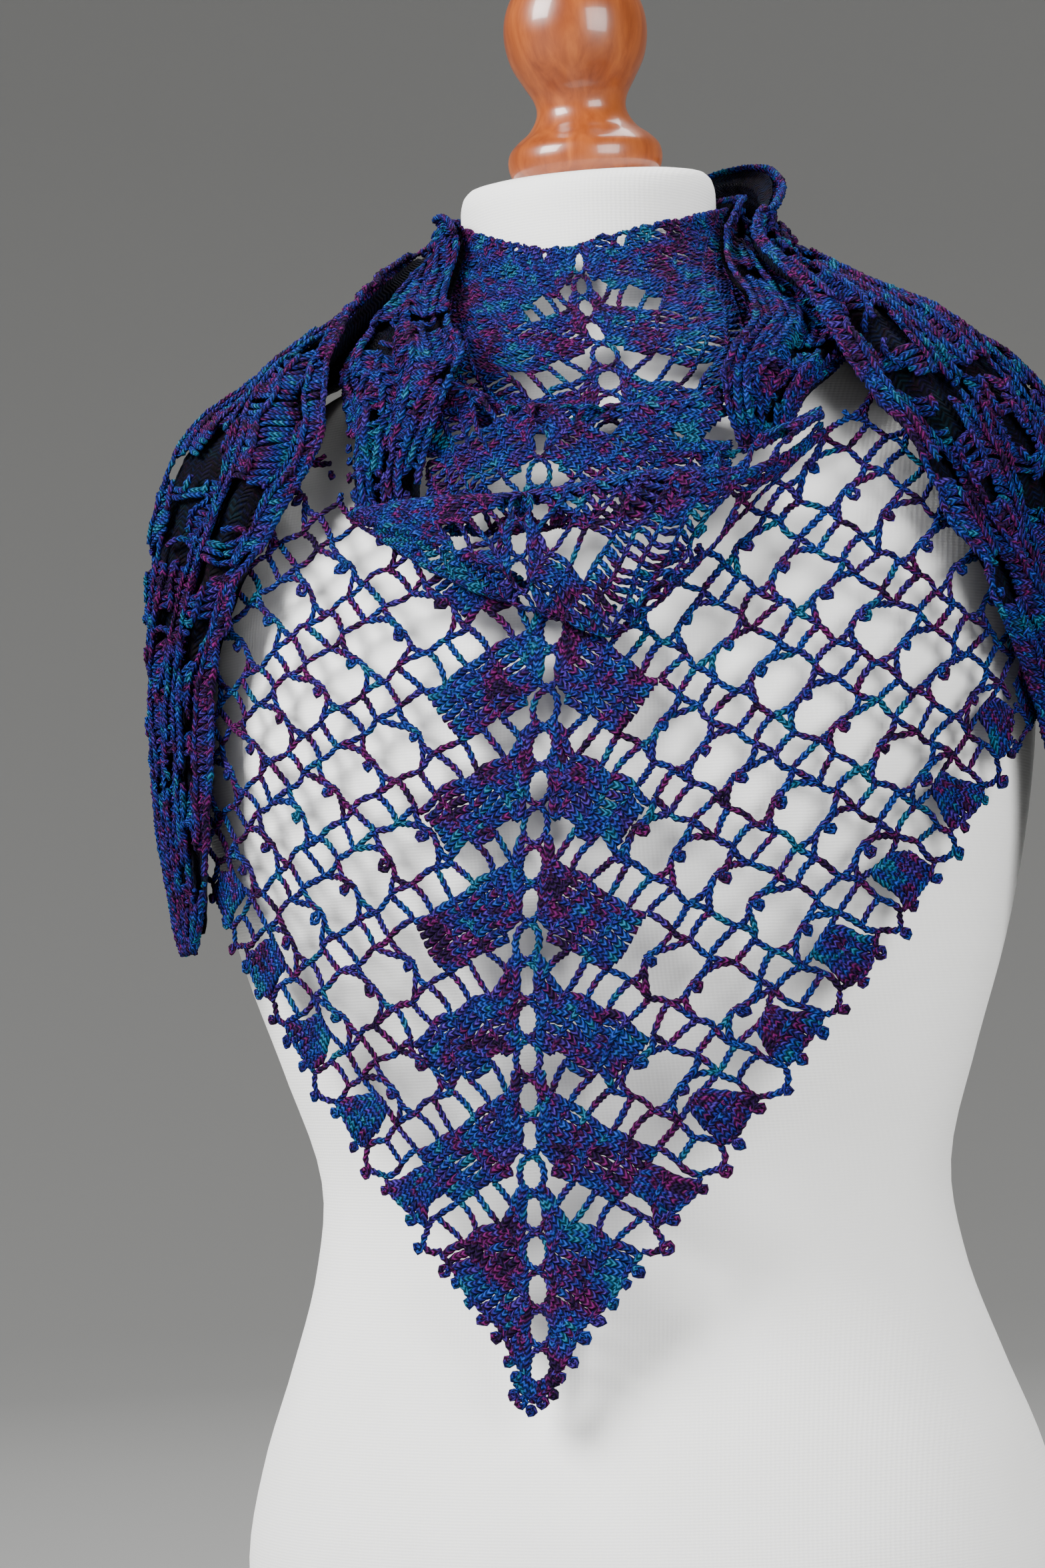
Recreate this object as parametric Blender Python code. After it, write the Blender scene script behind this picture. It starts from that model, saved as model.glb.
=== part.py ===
"""A crocheted lace shawl on a limbless dress form.

The form faces -Y and stands on its flat base at z = 0. The shawl's stretches are thin walls laid
on one smooth envelope round the form. A place on the envelope is an angle round it (0 at the
front, + towards +X), a height, and a distance out from it.
"""
import math
from collections import namedtuple

import bmesh
import bpy
import numpy as np
from mathutils import Matrix, Vector

MM = 0.001

# Driving dimensions.
WALL = 2.0 * MM             # the lace is two crossing yarns thick
SEAM = 0.8 * MM             # between stretches that meet edge to edge
POINT_HEIGHT = 146 * MM     # the shawl's point above the base
EDGE_ANGLE_LEFT = math.radians(37.5)    # between the spine and the lower edge at -X
EDGE_ANGLE_RIGHT = math.radians(40)     # and at +X
POINT_BLUNTNESS = 9 * MM
PANEL_OUT = 2.5 * MM
FOLD_DEPTH = 2.0 * MM       # the panel's soft folds below the swags
PANEL_HALF = 213 * MM       # the front panel's half width, measured round the form
CURL_RADIUS = 3.2 * MM      # of the rolled ridges of the swags
CAP_SLOPE = 0.12            # the neck's top rises this much towards the back
CAP_HEIGHT = 645 * MM
CAP_CENTRE_Y = -8 * MM
SHIFT_X = -4.8 * MM         # puts the origin under the middle of the whole
SHIFT_Y = 11.4 * MM
KNOB_BOTTOM_GAP = 0.3 * MM

Ring = namedtuple("Ring", "height half_width half_depth centre_y exponent")

# The dress form from its base up to the rounded rim of its neck, in mm.
FORM_RINGS = [
    Ring(0, 160, 112, 6, 2.2),
    Ring(30, 169, 119, 6, 2.2),
    Ring(75, 172, 122, 5, 2.2),
    Ring(115, 163, 118, 4, 2.2),
    Ring(155, 148, 110, 2, 2.2),
    Ring(192, 136, 102, 0, 2.2),
    Ring(230, 132, 99, -1, 2.2),
    Ring(275, 145, 107, -4, 2.2),
    Ring(320, 160, 117, -6, 2.2),
    Ring(365, 171, 124, -7, 2.2),
    Ring(410, 177, 125, -6, 2.2),
    Ring(450, 178, 120, -4, 2.2),
    Ring(485, 176, 110, -2, 2.2),
    Ring(510, 172, 100, 0, 2.2),
    Ring(530, 160, 91, 1, 2.2),
    Ring(545, 145, 82, 0, 2.1),
    Ring(558, 119, 74, -2, 2.1),
    Ring(570, 90, 66, -4, 2.0),
    Ring(583, 71, 60, -6, 2.0),
    Ring(600, 58, 56, -7, 2.0),
    Ring(620, 54, 54, -8, 2.0),
    Ring(636, 53.5, 53.5, -8, 2.0),
    Ring(641, 52, 52, -8, 2.0),
    Ring(644, 49, 49, -8, 2.0),
    Ring(645, 44, 44, -8, 2.0),
]
# The envelope that the cloth hangs on. It bridges the hollows at the neck and the waist.
ENVELOPE_RINGS = [
    Ring(100, 172, 128, 3, 2.1),
    Ring(133, 163, 128, 2, 2.1),
    Ring(180, 157, 126, 0, 2.1),
    Ring(230, 158, 127, -2, 2.1),
    Ring(280, 166, 130, -4, 2.1),
    Ring(330, 175, 133, -5, 2.1),
    Ring(380, 182, 135, -6, 2.1),
    Ring(430, 186, 133, -5, 2.1),
    Ring(470, 187, 127, -4, 2.1),
    Ring(500, 185, 118, -2, 2.1),
    Ring(522, 176, 109, -1, 2.1),
    Ring(540, 162, 101, -1, 2.1),
    Ring(555, 140, 93, -2, 2.1),
    Ring(568, 114, 85, -4, 2.0),
    Ring(582, 90, 76, -6, 2.0),
    Ring(598, 71, 67, -7, 2.0),
    Ring(615, 61, 61, -8, 2.0),
    Ring(640, 58, 58, -8, 2.0),
    Ring(670, 57, 57, -8, 2.0),
]
RING_STEPS = 36
FORM_LEVELS = 34

# The top edge of the front panel and of the wings: distance round the form, height, both in mm.
TopEdge = namedtuple("TopEdge", "across height")
PANEL_TOP = [
    TopEdge(-213, 549), TopEdge(-170, 550), TopEdge(-130, 546), TopEdge(-102, 538),
    TopEdge(-82, 514), TopEdge(-65, 491), TopEdge(-47, 481), TopEdge(-11, 469),
    TopEdge(23, 454), TopEdge(50, 446), TopEdge(68, 461), TopEdge(90, 483), TopEdge(105, 499),
    TopEdge(118, 510), TopEdge(128, 520), TopEdge(142, 532), TopEdge(170, 542),
    TopEdge(213, 547),
]

# One section across a strip of cloth: its upper or inner edge, its lower or outer edge, each as
# angle (degrees), height (mm) and distance out (mm), and how far its middle bellies out (mm).
Section = namedtuple("Section", "angle_a height_a out_a angle_b height_b out_b belly")
Strip = namedtuple("Strip", "name sections steps_along steps_across pleats pleat_depth curl")

COWL_UPPER = [
    Section(-60, 628, 0.5, -40, 572, 0.5, 1),
    Section(-45, 627, 0.5, -30, 560, 0.5, 1),
    Section(-26, 621, 0.5, -17, 544, 0.5, 1.5),
    Section(-8, 614, 0.5, -6, 530, 0.5, 2),
    Section(8, 610, 0.5, 7, 520, 0.5, 3),
    Section(26, 615, 0.5, 20, 519, 0.5, 3),
    Section(50, 620, 0.5, 34, 533, 0.5, 2),
    Section(74, 624, 0.5, 50, 554, 0.5, 1),
    Section(94, 627, 0.5, 72, 570, 0.5, 1),
]
COWL_MIDDLE = [
    Section(-11, 545, 11.5, -8.6, 486, 2, 0),
    Section(-5, 539, 13, -5, 483, 2, 1),
    Section(0, 531, 14, 0, 481, 3, 2),
    Section(8, 527, 14, 8, 482, 3, 2),
    Section(16, 525, 14, 15, 484, 3, 2),
    Section(21, 526, 13, 21, 489, 2, 1),
    Section(27.3, 532, 12, 27.3, 494, 2, 0),
]
COWL_LOWER = [
    Section(-18, 493, 16, -17, 487, 11, 0),
    Section(-13, 492, 17, -13, 479, 10, 1),
    Section(-6, 492, 18, -7, 467, 10, 2),
    Section(1, 490, 19, 1, 453, 10, 3),
    Section(8, 491, 19, 8, 443, 10, 4),
    Section(15, 495, 19, 14, 437, 9, 4),
    Section(22, 497, 18, 21, 455, 9, 3),
    Section(29, 506, 17, 28, 478, 9, 2),
    Section(35, 513, 16, 34, 497, 9, 1),
    Section(40, 520, 15, 40, 511, 10, 0),
]
NECK_WRAP_LEFT = [
    Section(-10, 493, 3, -18, 493, 3, 0),
    Section(-9.8, 507, 9, -20.5, 508, 8, 1),
    Section(-6.5, 534, 20, -23.5, 530, 8, 1),
    Section(-6, 551, 20, -29, 545, 7, 1),
    Section(-14, 569, 14, -40, 562, 7, 2),
    Section(-25, 593, 10, -54, 578, 7, 2),
    Section(-40, 627, 6, -70, 592, 6, 2),
    Section(-75, 633, 4, -88, 580, 5, 1),
    Section(-110, 635, 4, -116, 577, 5, 1),
    Section(-145, 635, 4, -145, 577, 5, 1),
    Section(-179.2, 635, 4, -179.2, 577, 5, 1),
]
NECK_WRAP_RIGHT = [
    Section(28.8, 508, 3, 36, 518, 3, 0),
    Section(27.6, 525, 14, 40, 529, 9, 1),
    Section(30, 541, 17, 48, 541, 8, 2),
    Section(43, 564, 12, 60, 557, 7, 2),
    Section(60, 595, 8, 76, 576, 7, 2),
    Section(84, 625, 7, 93, 586, 6, 1),
    Section(115, 633, 4, 124, 579, 5, 1),
    Section(145, 635, 4, 146, 577, 5, 1),
    Section(179.2, 635, 4, 179.2, 577, 5, 1),
]
SHOULDER_LEFT = [
    Section(-79, 545, 2.5, -73, 416, 2.5, 0),
    Section(-95, 548, 2.5, -90, 447, 2.5, 0),
    Section(-112, 552, 2.5, -106, 478, 2.5, 0),
    Section(-130, 558, 2.5, -123, 508, 3, 1),
    Section(-148, 565, 2.5, -143, 536, 3, 1),
    Section(-164, 570, 2.5, -161, 556, 3, 1),
    Section(-179.2, 572, 2.5, -179.2, 563, 2.5, 0),
]
SHOULDER_RIGHT = [
    Section(79, 547, 2.5, 72, 400, 2.5, 0),
    Section(95, 550, 2.5, 89, 436, 2.5, 0),
    Section(112, 553, 2.5, 105, 470, 2.5, 0),
    Section(130, 559, 2.5, 122, 503, 3, 1),
    Section(148, 565, 2.5, 142, 534, 3, 1),
    Section(164, 570, 2.5, 160, 555, 3, 1),
    Section(179.2, 572, 2.5, 179.2, 563, 2.5, 0),
]
TAIL_LEFT = [
    Section(166, 622, 22, 166, 610, 22, 0),
    Section(182, 632, 22, 182, 596, 24, 3),
    Section(210, 638, 21, 212, 590, 23, 3),
    Section(240, 634, 18, 240, 576, 19, 3),
    Section(273, 612, 16, 258, 556, 12, 2),
    Section(300, 588, 16, 264, 545, 9, 2),
    Section(322, 562, 16, 267, 536, 8, 2),
    Section(332, 541, 16, 270, 526, 8, 3),
    Section(335, 519, 15, 274, 508, 8, 3),
    Section(330, 498, 10, 276, 482, 8, 3),
    Section(324, 466, 9, 278, 458, 8, 3),
    Section(318, 431, 9, 281, 427, 9, 3),
    Section(316, 394, 9, 284, 392, 10, 3),
    Section(311, 352, 10, 287, 350, 10, 2),
    Section(304, 328, 11, 292, 328, 11, 0),
]
TAIL_RIGHT = [
    Section(202, 622, 13, 202, 604, 14, 0),
    Section(180, 640, 13, 180, 598, 14, 3),
    Section(148, 650, 13, 150, 592, 15, 3),
    Section(114, 644, 14, 126, 576, 15, 3),
    Section(86, 624, 16, 112, 564, 16, 3),
    Section(66, 596, 17, 106, 555, 16, 4),
    Section(51, 562, 19, 102, 548, 15, 4),
    Section(46, 532, 17, 100, 535, 14, 4),
    Section(55, 486, 10, 100, 510, 13, 4),
    Section(66, 446, 9, 101, 470, 13, 3),
    Section(76, 411, 9, 103, 424, 13, 3),
    Section(83, 372, 9, 103, 380, 12, 3),
    Section(88, 338, 10, 101, 342, 12, 2),
    Section(93, 316, 11, 97, 318, 12, 0),
]
STRIPS = [
    Strip("cowl_upper", COWL_UPPER, 24, 5, 0, 0.0, 0),
    Strip("cowl_middle", COWL_MIDDLE, 16, 9, 0, 0.0, 1),
    Strip("cowl_lower", COWL_LOWER, 20, 9, 0, 0.0, 1),
    Strip("neck_wrap_left", NECK_WRAP_LEFT, 22, 10, 2.5, 1.5, 0),
    Strip("neck_wrap_right", NECK_WRAP_RIGHT, 20, 10, 2.5, 1.5, 0),
    Strip("tail_left", TAIL_LEFT, 30, 11, 3, 2.6, 0),
    Strip("tail_right", TAIL_RIGHT, 28, 11, 3, 2.6, 0),
]
WING_STRIPS = [
    Strip("shoulder_left", SHOULDER_LEFT, 14, 8, 0, 0.0, 0),
    Strip("shoulder_right", SHOULDER_RIGHT, 14, 8, 0, 0.0, 0),
]

# The knob's turned profile above the neck: height and radius, in mm.
Turn = namedtuple("Turn", "height radius")
KNOB_PROFILE = [
    Turn(0, 28.5), Turn(3, 31.3), Turn(8, 32.5), Turn(13, 31.5), Turn(17, 28), Turn(21.5, 22.5),
    Turn(28, 19), Turn(34, 19.6), Turn(41, 23.5), Turn(50, 28.2), Turn(61, 30.2), Turn(72, 28.6),
    Turn(82, 23), Turn(89, 15), Turn(93, 6),
]
KNOB_STEPS = 28
KNOB_LEVELS = 20

COLOURS = {
    "jersey": (0.86, 0.86, 0.84),
    "wood": (0.45, 0.17, 0.045),
    "yarn": (0.045, 0.05, 0.22),
}


def catmull_rom(rows, place):
    """A smooth curve through the rows of a table at places counted in rows from 0."""
    rows = np.asarray(rows, float)
    place = np.clip(np.asarray(place, float), 0, len(rows) - 1)
    left = np.minimum(place.astype(int), len(rows) - 2)
    t = (place - left)[..., None]
    before = rows[np.maximum(left - 1, 0)]
    start, end = rows[left], rows[left + 1]
    after = rows[np.minimum(left + 2, len(rows) - 1)]
    return 0.5 * (
        2 * start
        + (end - before) * t
        + (2 * before - 5 * start + 4 * end - after) * t**2
        + (3 * start - before - 3 * end + after) * t**3
    )


def ring_at(rings, height):
    """The half width, half depth, centre y and exponent of the section at a height in metres."""
    heights = np.array([ring.height for ring in rings]) * MM
    place = np.interp(height, heights, np.arange(len(rings)))
    values = catmull_rom([ring[1:] for ring in rings], place)
    return values[..., 0] * MM, values[..., 1] * MM, values[..., 2] * MM, values[..., 3]


def cap_tilt(height, y):
    """How far the neck's slope lifts a point."""
    share = np.clip((height - 570 * MM) / (50 * MM), 0, 1)
    return CAP_SLOPE * (y - CAP_CENTRE_Y) * share


def ring_point(rings, angle, height):
    half_width, half_depth, centre_y, exponent = ring_at(rings, height)
    sine, cosine = np.sin(angle), np.cos(angle)
    x = half_width * np.sign(sine) * np.abs(sine) ** (2 / exponent)
    y = centre_y - half_depth * np.sign(cosine) * np.abs(cosine) ** (2 / exponent)
    return np.stack([x + SHIFT_X, y + SHIFT_Y, height + cap_tilt(height, y)], axis=-1)


def envelope(angle, height, out):
    """The point at a distance out from the envelope, along its normal."""
    angle, height = np.asarray(angle, float), np.asarray(height, float)
    round_step, up_step = math.radians(0.8), 0.8 * MM
    around = ring_point(ENVELOPE_RINGS, angle + round_step, height) - ring_point(
        ENVELOPE_RINGS, angle - round_step, height
    )
    upward = ring_point(ENVELOPE_RINGS, angle, height + up_step) - ring_point(
        ENVELOPE_RINGS, angle, height - up_step
    )
    normal = np.cross(around, upward)
    normal /= np.linalg.norm(normal, axis=-1, keepdims=True)
    return ring_point(ENVELOPE_RINGS, angle, height) + normal * np.asarray(out)[..., None]


def angle_at(across, height):
    """The angle at a distance round the envelope from the front, at one height."""
    angles = np.radians(np.arange(0, 181))
    points = ring_point(ENVELOPE_RINGS, angles, np.full(len(angles), height))
    lengths = np.linalg.norm(np.diff(points, axis=0), axis=1)
    travelled = np.concatenate([[0], np.cumsum(lengths)])
    return math.copysign(np.interp(abs(across), travelled, angles), across)


def panel_point(across, share):
    """A point of the front panel or a wing: share is 0 at the top edge and 1 at the lower."""
    edge_places = [edge.across * MM for edge in PANEL_TOP]
    place = np.interp(across, edge_places, np.arange(len(PANEL_TOP)))
    top = catmull_rom([[edge.height] for edge in PANEL_TOP], place)[0] * MM
    blunt = math.hypot(across, POINT_BLUNTNESS) - POINT_BLUNTNESS
    edge_angle = EDGE_ANGLE_RIGHT if across > 0 else EDGE_ANGLE_LEFT
    bottom = min(POINT_HEIGHT + blunt / math.tan(edge_angle), top - 8 * MM)
    height = top + (bottom - top) * share
    fade = (1 - share) ** 2 * min(1, 4 * abs(1 - abs(across) / PANEL_HALF))
    folds = FOLD_DEPTH * fade * math.sin(across / (24 * MM) + height / (60 * MM))
    return envelope(angle_at(across, height), height, PANEL_OUT + folds)


def panel_grid(start, end, steps_along, steps_across):
    acrosses = np.linspace(start, end, steps_along + 1)
    shares = np.linspace(0, 1, steps_across + 1)
    return np.array([[panel_point(a, s) for s in shares] for a in acrosses])


def strip_grid(strip):
    """The middle surface of a strip, as a grid of points along and across it."""
    along = np.linspace(0, len(strip.sections) - 1, strip.steps_along + 1)
    columns = catmull_rom(strip.sections, along)[:, None, :]
    across = np.linspace(0, 1, strip.steps_across + 1)
    curl_share = 0.45 if strip.curl else 0.0
    flat = np.clip((across - curl_share) / (1 - curl_share), 0, 1)[None, :]
    angle_a, height_a, out_a, angle_b, height_b, out_b, belly = np.moveaxis(columns, 2, 0)
    angle = np.radians(angle_a + (angle_b - angle_a) * flat)
    height = (height_a + (height_b - height_a) * flat) * MM
    fade = np.sin(np.pi * np.clip(along / along[-1], 0.06, 0.97))[:, None] ** 0.4
    pleat = strip.pleat_depth * fade * np.sin(2 * np.pi * strip.pleats * flat + along[:, None] / 2)
    out = (out_a + (out_b - out_a) * flat + belly * 4 * flat * (1 - flat) + pleat) * MM
    if strip.curl:
        turn = np.pi * (1 - np.clip(across / curl_share, 0, 1))[None, :]
        out = out - CURL_RADIUS * (1 - np.cos(turn))
        height = height - CURL_RADIUS * (1 - np.sin(turn)) * (1 - flat)
    return envelope(angle, height, out)


def wing_grid(strip, side):
    """A wing's stretch over the side and the back, which starts on the panel's side edge."""
    grid = strip_grid(strip)
    shares = np.linspace(0, 1, strip.steps_across + 1)
    edge = np.array([panel_point(side * (PANEL_HALF + SEAM), share) for share in shares])
    fade = (1 - np.linspace(0, 1, strip.steps_along + 1))[:, None, None] ** 3
    return grid + (edge - grid[0]) * fade


def grid_normals(grid):
    along = np.gradient(grid, axis=0)
    across = np.gradient(grid, axis=1)
    normals = np.cross(across, along)
    return normals / np.linalg.norm(normals, axis=-1, keepdims=True)


def make_material(slot, roughness):
    material = bpy.data.materials.new(slot)
    material.use_nodes = True
    shader = material.node_tree.nodes["Principled BSDF"]
    shader.inputs["Base Color"].default_value = (*COLOURS[slot], 1)
    shader.inputs["Roughness"].default_value = roughness
    shader.inputs["Metallic"].default_value = 0.0
    return material


def make_object(name, points, faces, material):
    mesh = bpy.data.meshes.new(name)
    mesh.from_pydata([tuple(p) for p in points], [], faces)
    builder = bmesh.new()
    builder.from_mesh(mesh)
    bmesh.ops.recalc_face_normals(builder, faces=builder.faces)
    builder.to_mesh(mesh)
    builder.free()
    mesh.materials.append(material)
    mesh.shade_smooth()
    mesh.set_sharp_from_angle(angle=math.radians(40))
    made = bpy.data.objects.new(name, mesh)
    bpy.context.scene.collection.objects.link(made)
    return made


def make_wall(name, grid, material):
    """A closed wall on both sides of a grid of points."""
    rows, columns = grid.shape[:2]
    shift = grid_normals(grid) * (WALL / 2)
    points = np.concatenate([(grid + shift).reshape(-1, 3), (grid - shift).reshape(-1, 3)])
    back = rows * columns
    faces = []
    for i in range(rows - 1):
        for j in range(columns - 1):
            quad = [i * columns + j, (i + 1) * columns + j]
            quad += [(i + 1) * columns + j + 1, i * columns + j + 1]
            faces += [quad, [back + k for k in reversed(quad)]]
    rim = [i * columns for i in range(rows)]
    rim += [(rows - 1) * columns + j for j in range(1, columns)]
    rim += [i * columns + columns - 1 for i in range(rows - 2, -1, -1)]
    rim += [j for j in range(columns - 2, 0, -1)]
    for here, there in zip(rim, rim[1:] + rim[:1]):
        faces.append([there, here, back + here, back + there])
    return make_object(name, points, faces, material)


def make_lathe(name, loops, material):
    """A closed body through rings of points, capped flat at both ends."""
    count = len(loops[0])
    points = np.concatenate(loops)
    faces = [list(range(count)), list(range((len(loops) - 1) * count, len(loops) * count))]
    for level in range(len(loops) - 1):
        for k in range(count):
            after = (k + 1) % count
            low, high = level * count, (level + 1) * count
            faces.append([low + k, low + after, high + after, high + k])
    return make_object(name, points, faces, material)


def make_form(material):
    places = np.linspace(0, len(FORM_RINGS) - 1, FORM_LEVELS + 1)
    heights = catmull_rom([[ring.height] for ring in FORM_RINGS], places)[:, 0] * MM
    angles = np.linspace(0, 2 * np.pi, RING_STEPS, endpoint=False)
    loops = [ring_point(FORM_RINGS, angles, np.full(RING_STEPS, h)) for h in heights]
    loops[0][:, 2] = 0.0
    return make_lathe("dress_form", loops, material)


def make_knob(material):
    places = np.linspace(0, len(KNOB_PROFILE) - 1, KNOB_LEVELS + 1)
    profile = catmull_rom(KNOB_PROFILE, places) * MM
    angles = np.linspace(0, 2 * np.pi, KNOB_STEPS, endpoint=False)
    loops = []
    for height, radius in profile:
        ring = [np.cos(angles) * radius, np.sin(angles) * radius, np.full(KNOB_STEPS, height)]
        loops.append(np.stack(ring, axis=-1))
    knob = make_lathe("neck_knob", loops, material)
    lean = Matrix.Rotation(math.atan(CAP_SLOPE), 4, "X")
    foot = Vector((SHIFT_X, CAP_CENTRE_Y + SHIFT_Y, CAP_HEIGHT)) + lean @ Vector((0, 0, KNOB_BOTTOM_GAP))
    knob.matrix_world = Matrix.Translation(foot) @ lean
    return knob


def build():
    for item in list(bpy.data.objects):
        bpy.data.objects.remove(item)
    jersey = make_material("jersey", 0.85)
    wood = make_material("wood", 0.25)
    yarn = make_material("yarn", 0.8)
    make_form(jersey)
    make_knob(wood)
    make_wall("front_panel", panel_grid(-PANEL_HALF, PANEL_HALF, 38, 12), yarn)
    for strip, side in zip(WING_STRIPS, (-1, 1)):
        make_wall(strip.name, wing_grid(strip, side), yarn)
    for strip in STRIPS:
        make_wall(strip.name, strip_grid(strip), yarn)


build()
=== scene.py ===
"""The looks of a crocheted lace shawl worn by a limbless dress form.

The lace is worked from a chart with its own flat coordinates, in mm: r runs along a row and w
counts up from the lower edge, across the rows. Each strand of yarn is a short tube, laid on the
surface of the stretch of cloth that it belongs to.
"""
import math
from collections import namedtuple

import bpy
import numpy as np
from mathutils import Matrix, Vector


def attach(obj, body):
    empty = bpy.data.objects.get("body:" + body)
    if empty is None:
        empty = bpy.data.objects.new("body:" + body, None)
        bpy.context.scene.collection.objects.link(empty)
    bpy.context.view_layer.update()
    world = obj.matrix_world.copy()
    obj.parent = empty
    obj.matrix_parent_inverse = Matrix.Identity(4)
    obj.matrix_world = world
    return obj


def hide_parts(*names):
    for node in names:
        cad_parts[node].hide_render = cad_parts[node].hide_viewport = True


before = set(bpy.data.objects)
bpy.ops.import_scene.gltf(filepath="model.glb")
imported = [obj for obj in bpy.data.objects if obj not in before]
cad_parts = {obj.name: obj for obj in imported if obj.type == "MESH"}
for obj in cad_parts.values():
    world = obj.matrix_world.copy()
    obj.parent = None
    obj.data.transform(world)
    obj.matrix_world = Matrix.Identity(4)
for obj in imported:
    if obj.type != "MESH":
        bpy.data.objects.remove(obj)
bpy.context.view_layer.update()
MM = 0.001

# Driving dimensions.
SEAM = 0.8 * MM             # between stretches that meet edge to edge
POINT_HEIGHT = 146 * MM     # the shawl's point above the base
EDGE_ANGLE_LEFT = math.radians(37.5)    # between the spine and the lower edge at -X
EDGE_ANGLE_RIGHT = math.radians(40)     # and at +X
POINT_BLUNTNESS = 9 * MM
PANEL_OUT = 2.5 * MM
FOLD_DEPTH = 2.0 * MM       # the panel's soft folds
FOLD_ACROSS = 24 * MM       # a fold repeats in 2 pi times this, across
FOLD_UP = 60 * MM           # and up
PANEL_HALF = 213 * MM       # the front panel's half width, measured round the form
CURL_RADIUS = 3.2 * MM      # of the rolled ridges of the swags
CURL_SHARE = 0.45           # of their width
CAP_SLOPE = 0.12            # the neck's top rises this much towards the back
CAP_FROM = 570 * MM
CAP_BLEND = 50 * MM
CAP_HEIGHT = 645 * MM
CAP_CENTRE_Y = -8 * MM
SHIFT_X = -4.8 * MM         # puts the origin under the middle of the whole
SHIFT_Y = 11.4 * MM
KNOB_BOTTOM_GAP = 0.3 * MM


def table(kind, *rows):
    """A list of rows, each with its columns named."""
    return [kind(*row) for row in rows]


Ring = namedtuple("Ring", "height half_width half_depth centre_y exponent")

# The dress form from its base up to the rounded rim of its neck, in mm.
FORM_RINGS = table(
    Ring,
    (0, 160, 112, 6, 2.2), (30, 169, 119, 6, 2.2), (75, 172, 122, 5, 2.2),
    (115, 163, 118, 4, 2.2), (155, 148, 110, 2, 2.2), (192, 136, 102, 0, 2.2),
    (230, 132, 99, -1, 2.2), (275, 145, 107, -4, 2.2), (320, 160, 117, -6, 2.2),
    (365, 171, 124, -7, 2.2), (410, 177, 125, -6, 2.2), (450, 178, 120, -4, 2.2),
    (485, 176, 110, -2, 2.2), (510, 172, 100, 0, 2.2), (530, 160, 91, 1, 2.2),
    (545, 145, 82, 0, 2.1), (558, 119, 74, -2, 2.1), (570, 90, 66, -4, 2.0),
    (583, 71, 60, -6, 2.0), (600, 58, 56, -7, 2.0), (620, 54, 54, -8, 2.0),
    (636, 53.5, 53.5, -8, 2.0), (641, 52, 52, -8, 2.0), (644, 49, 49, -8, 2.0),
    (645, 44, 44, -8, 2.0),
)
# The envelope that the cloth hangs on. It bridges the hollows at the neck and the waist.
ENVELOPE_RINGS = table(
    Ring,
    (100, 172, 128, 3, 2.1), (133, 163, 128, 2, 2.1), (180, 157, 126, 0, 2.1),
    (230, 158, 127, -2, 2.1), (280, 166, 130, -4, 2.1), (330, 175, 133, -5, 2.1),
    (380, 182, 135, -6, 2.1), (430, 186, 133, -5, 2.1), (470, 187, 127, -4, 2.1),
    (500, 185, 118, -2, 2.1), (522, 176, 109, -1, 2.1), (540, 162, 101, -1, 2.1),
    (555, 140, 93, -2, 2.1), (568, 114, 85, -4, 2.0), (582, 90, 76, -6, 2.0),
    (598, 71, 67, -7, 2.0), (615, 61, 61, -8, 2.0), (640, 58, 58, -8, 2.0),
    (670, 57, 57, -8, 2.0),
)

# The top edge of the front panel and of the wings: distance round the form, height, both in mm.
TopEdge = namedtuple("TopEdge", "across height")
PANEL_TOP = table(
    TopEdge,
    (-213, 549), (-170, 550), (-130, 546), (-102, 538), (-82, 514), (-65, 491), (-47, 481),
    (-11, 469), (23, 454), (50, 446), (68, 461), (90, 483), (105, 499), (118, 510), (128, 520),
    (142, 532), (170, 542), (213, 547),
)

# One section across a strip of cloth: its upper or inner edge, its lower or outer edge, each as
# angle (degrees), height (mm) and distance out (mm), and how far its middle bellies out (mm).
Section = namedtuple("Section", "angle_a height_a out_a angle_b height_b out_b belly")
Strip = namedtuple("Strip", "name sections pleats pleat_depth curl")

COWL_UPPER = table(
    Section,
    (-60, 628, 0.5, -40, 572, 0.5, 1), (-45, 627, 0.5, -30, 560, 0.5, 1),
    (-26, 621, 0.5, -17, 544, 0.5, 1.5), (-8, 614, 0.5, -6, 530, 0.5, 2),
    (8, 610, 0.5, 7, 520, 0.5, 3), (26, 615, 0.5, 20, 519, 0.5, 3),
    (50, 620, 0.5, 34, 533, 0.5, 2), (74, 624, 0.5, 50, 554, 0.5, 1),
    (94, 627, 0.5, 72, 570, 0.5, 1),
)
COWL_MIDDLE = table(
    Section,
    (-11, 545, 11.5, -8.6, 486, 2, 0), (-5, 539, 13, -5, 483, 2, 1), (0, 531, 14, 0, 481, 3, 2),
    (8, 527, 14, 8, 482, 3, 2), (16, 525, 14, 15, 484, 3, 2), (21, 526, 13, 21, 489, 2, 1),
    (27.3, 532, 12, 27.3, 494, 2, 0),
)
COWL_LOWER = table(
    Section,
    (-18, 493, 16, -17, 487, 11, 0), (-13, 492, 17, -13, 479, 10, 1),
    (-6, 492, 18, -7, 467, 10, 2), (1, 490, 19, 1, 453, 10, 3), (8, 491, 19, 8, 443, 10, 4),
    (15, 495, 19, 14, 437, 9, 4), (22, 497, 18, 21, 455, 9, 3), (29, 506, 17, 28, 478, 9, 2),
    (35, 513, 16, 34, 497, 9, 1), (40, 520, 15, 40, 511, 10, 0),
)
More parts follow.
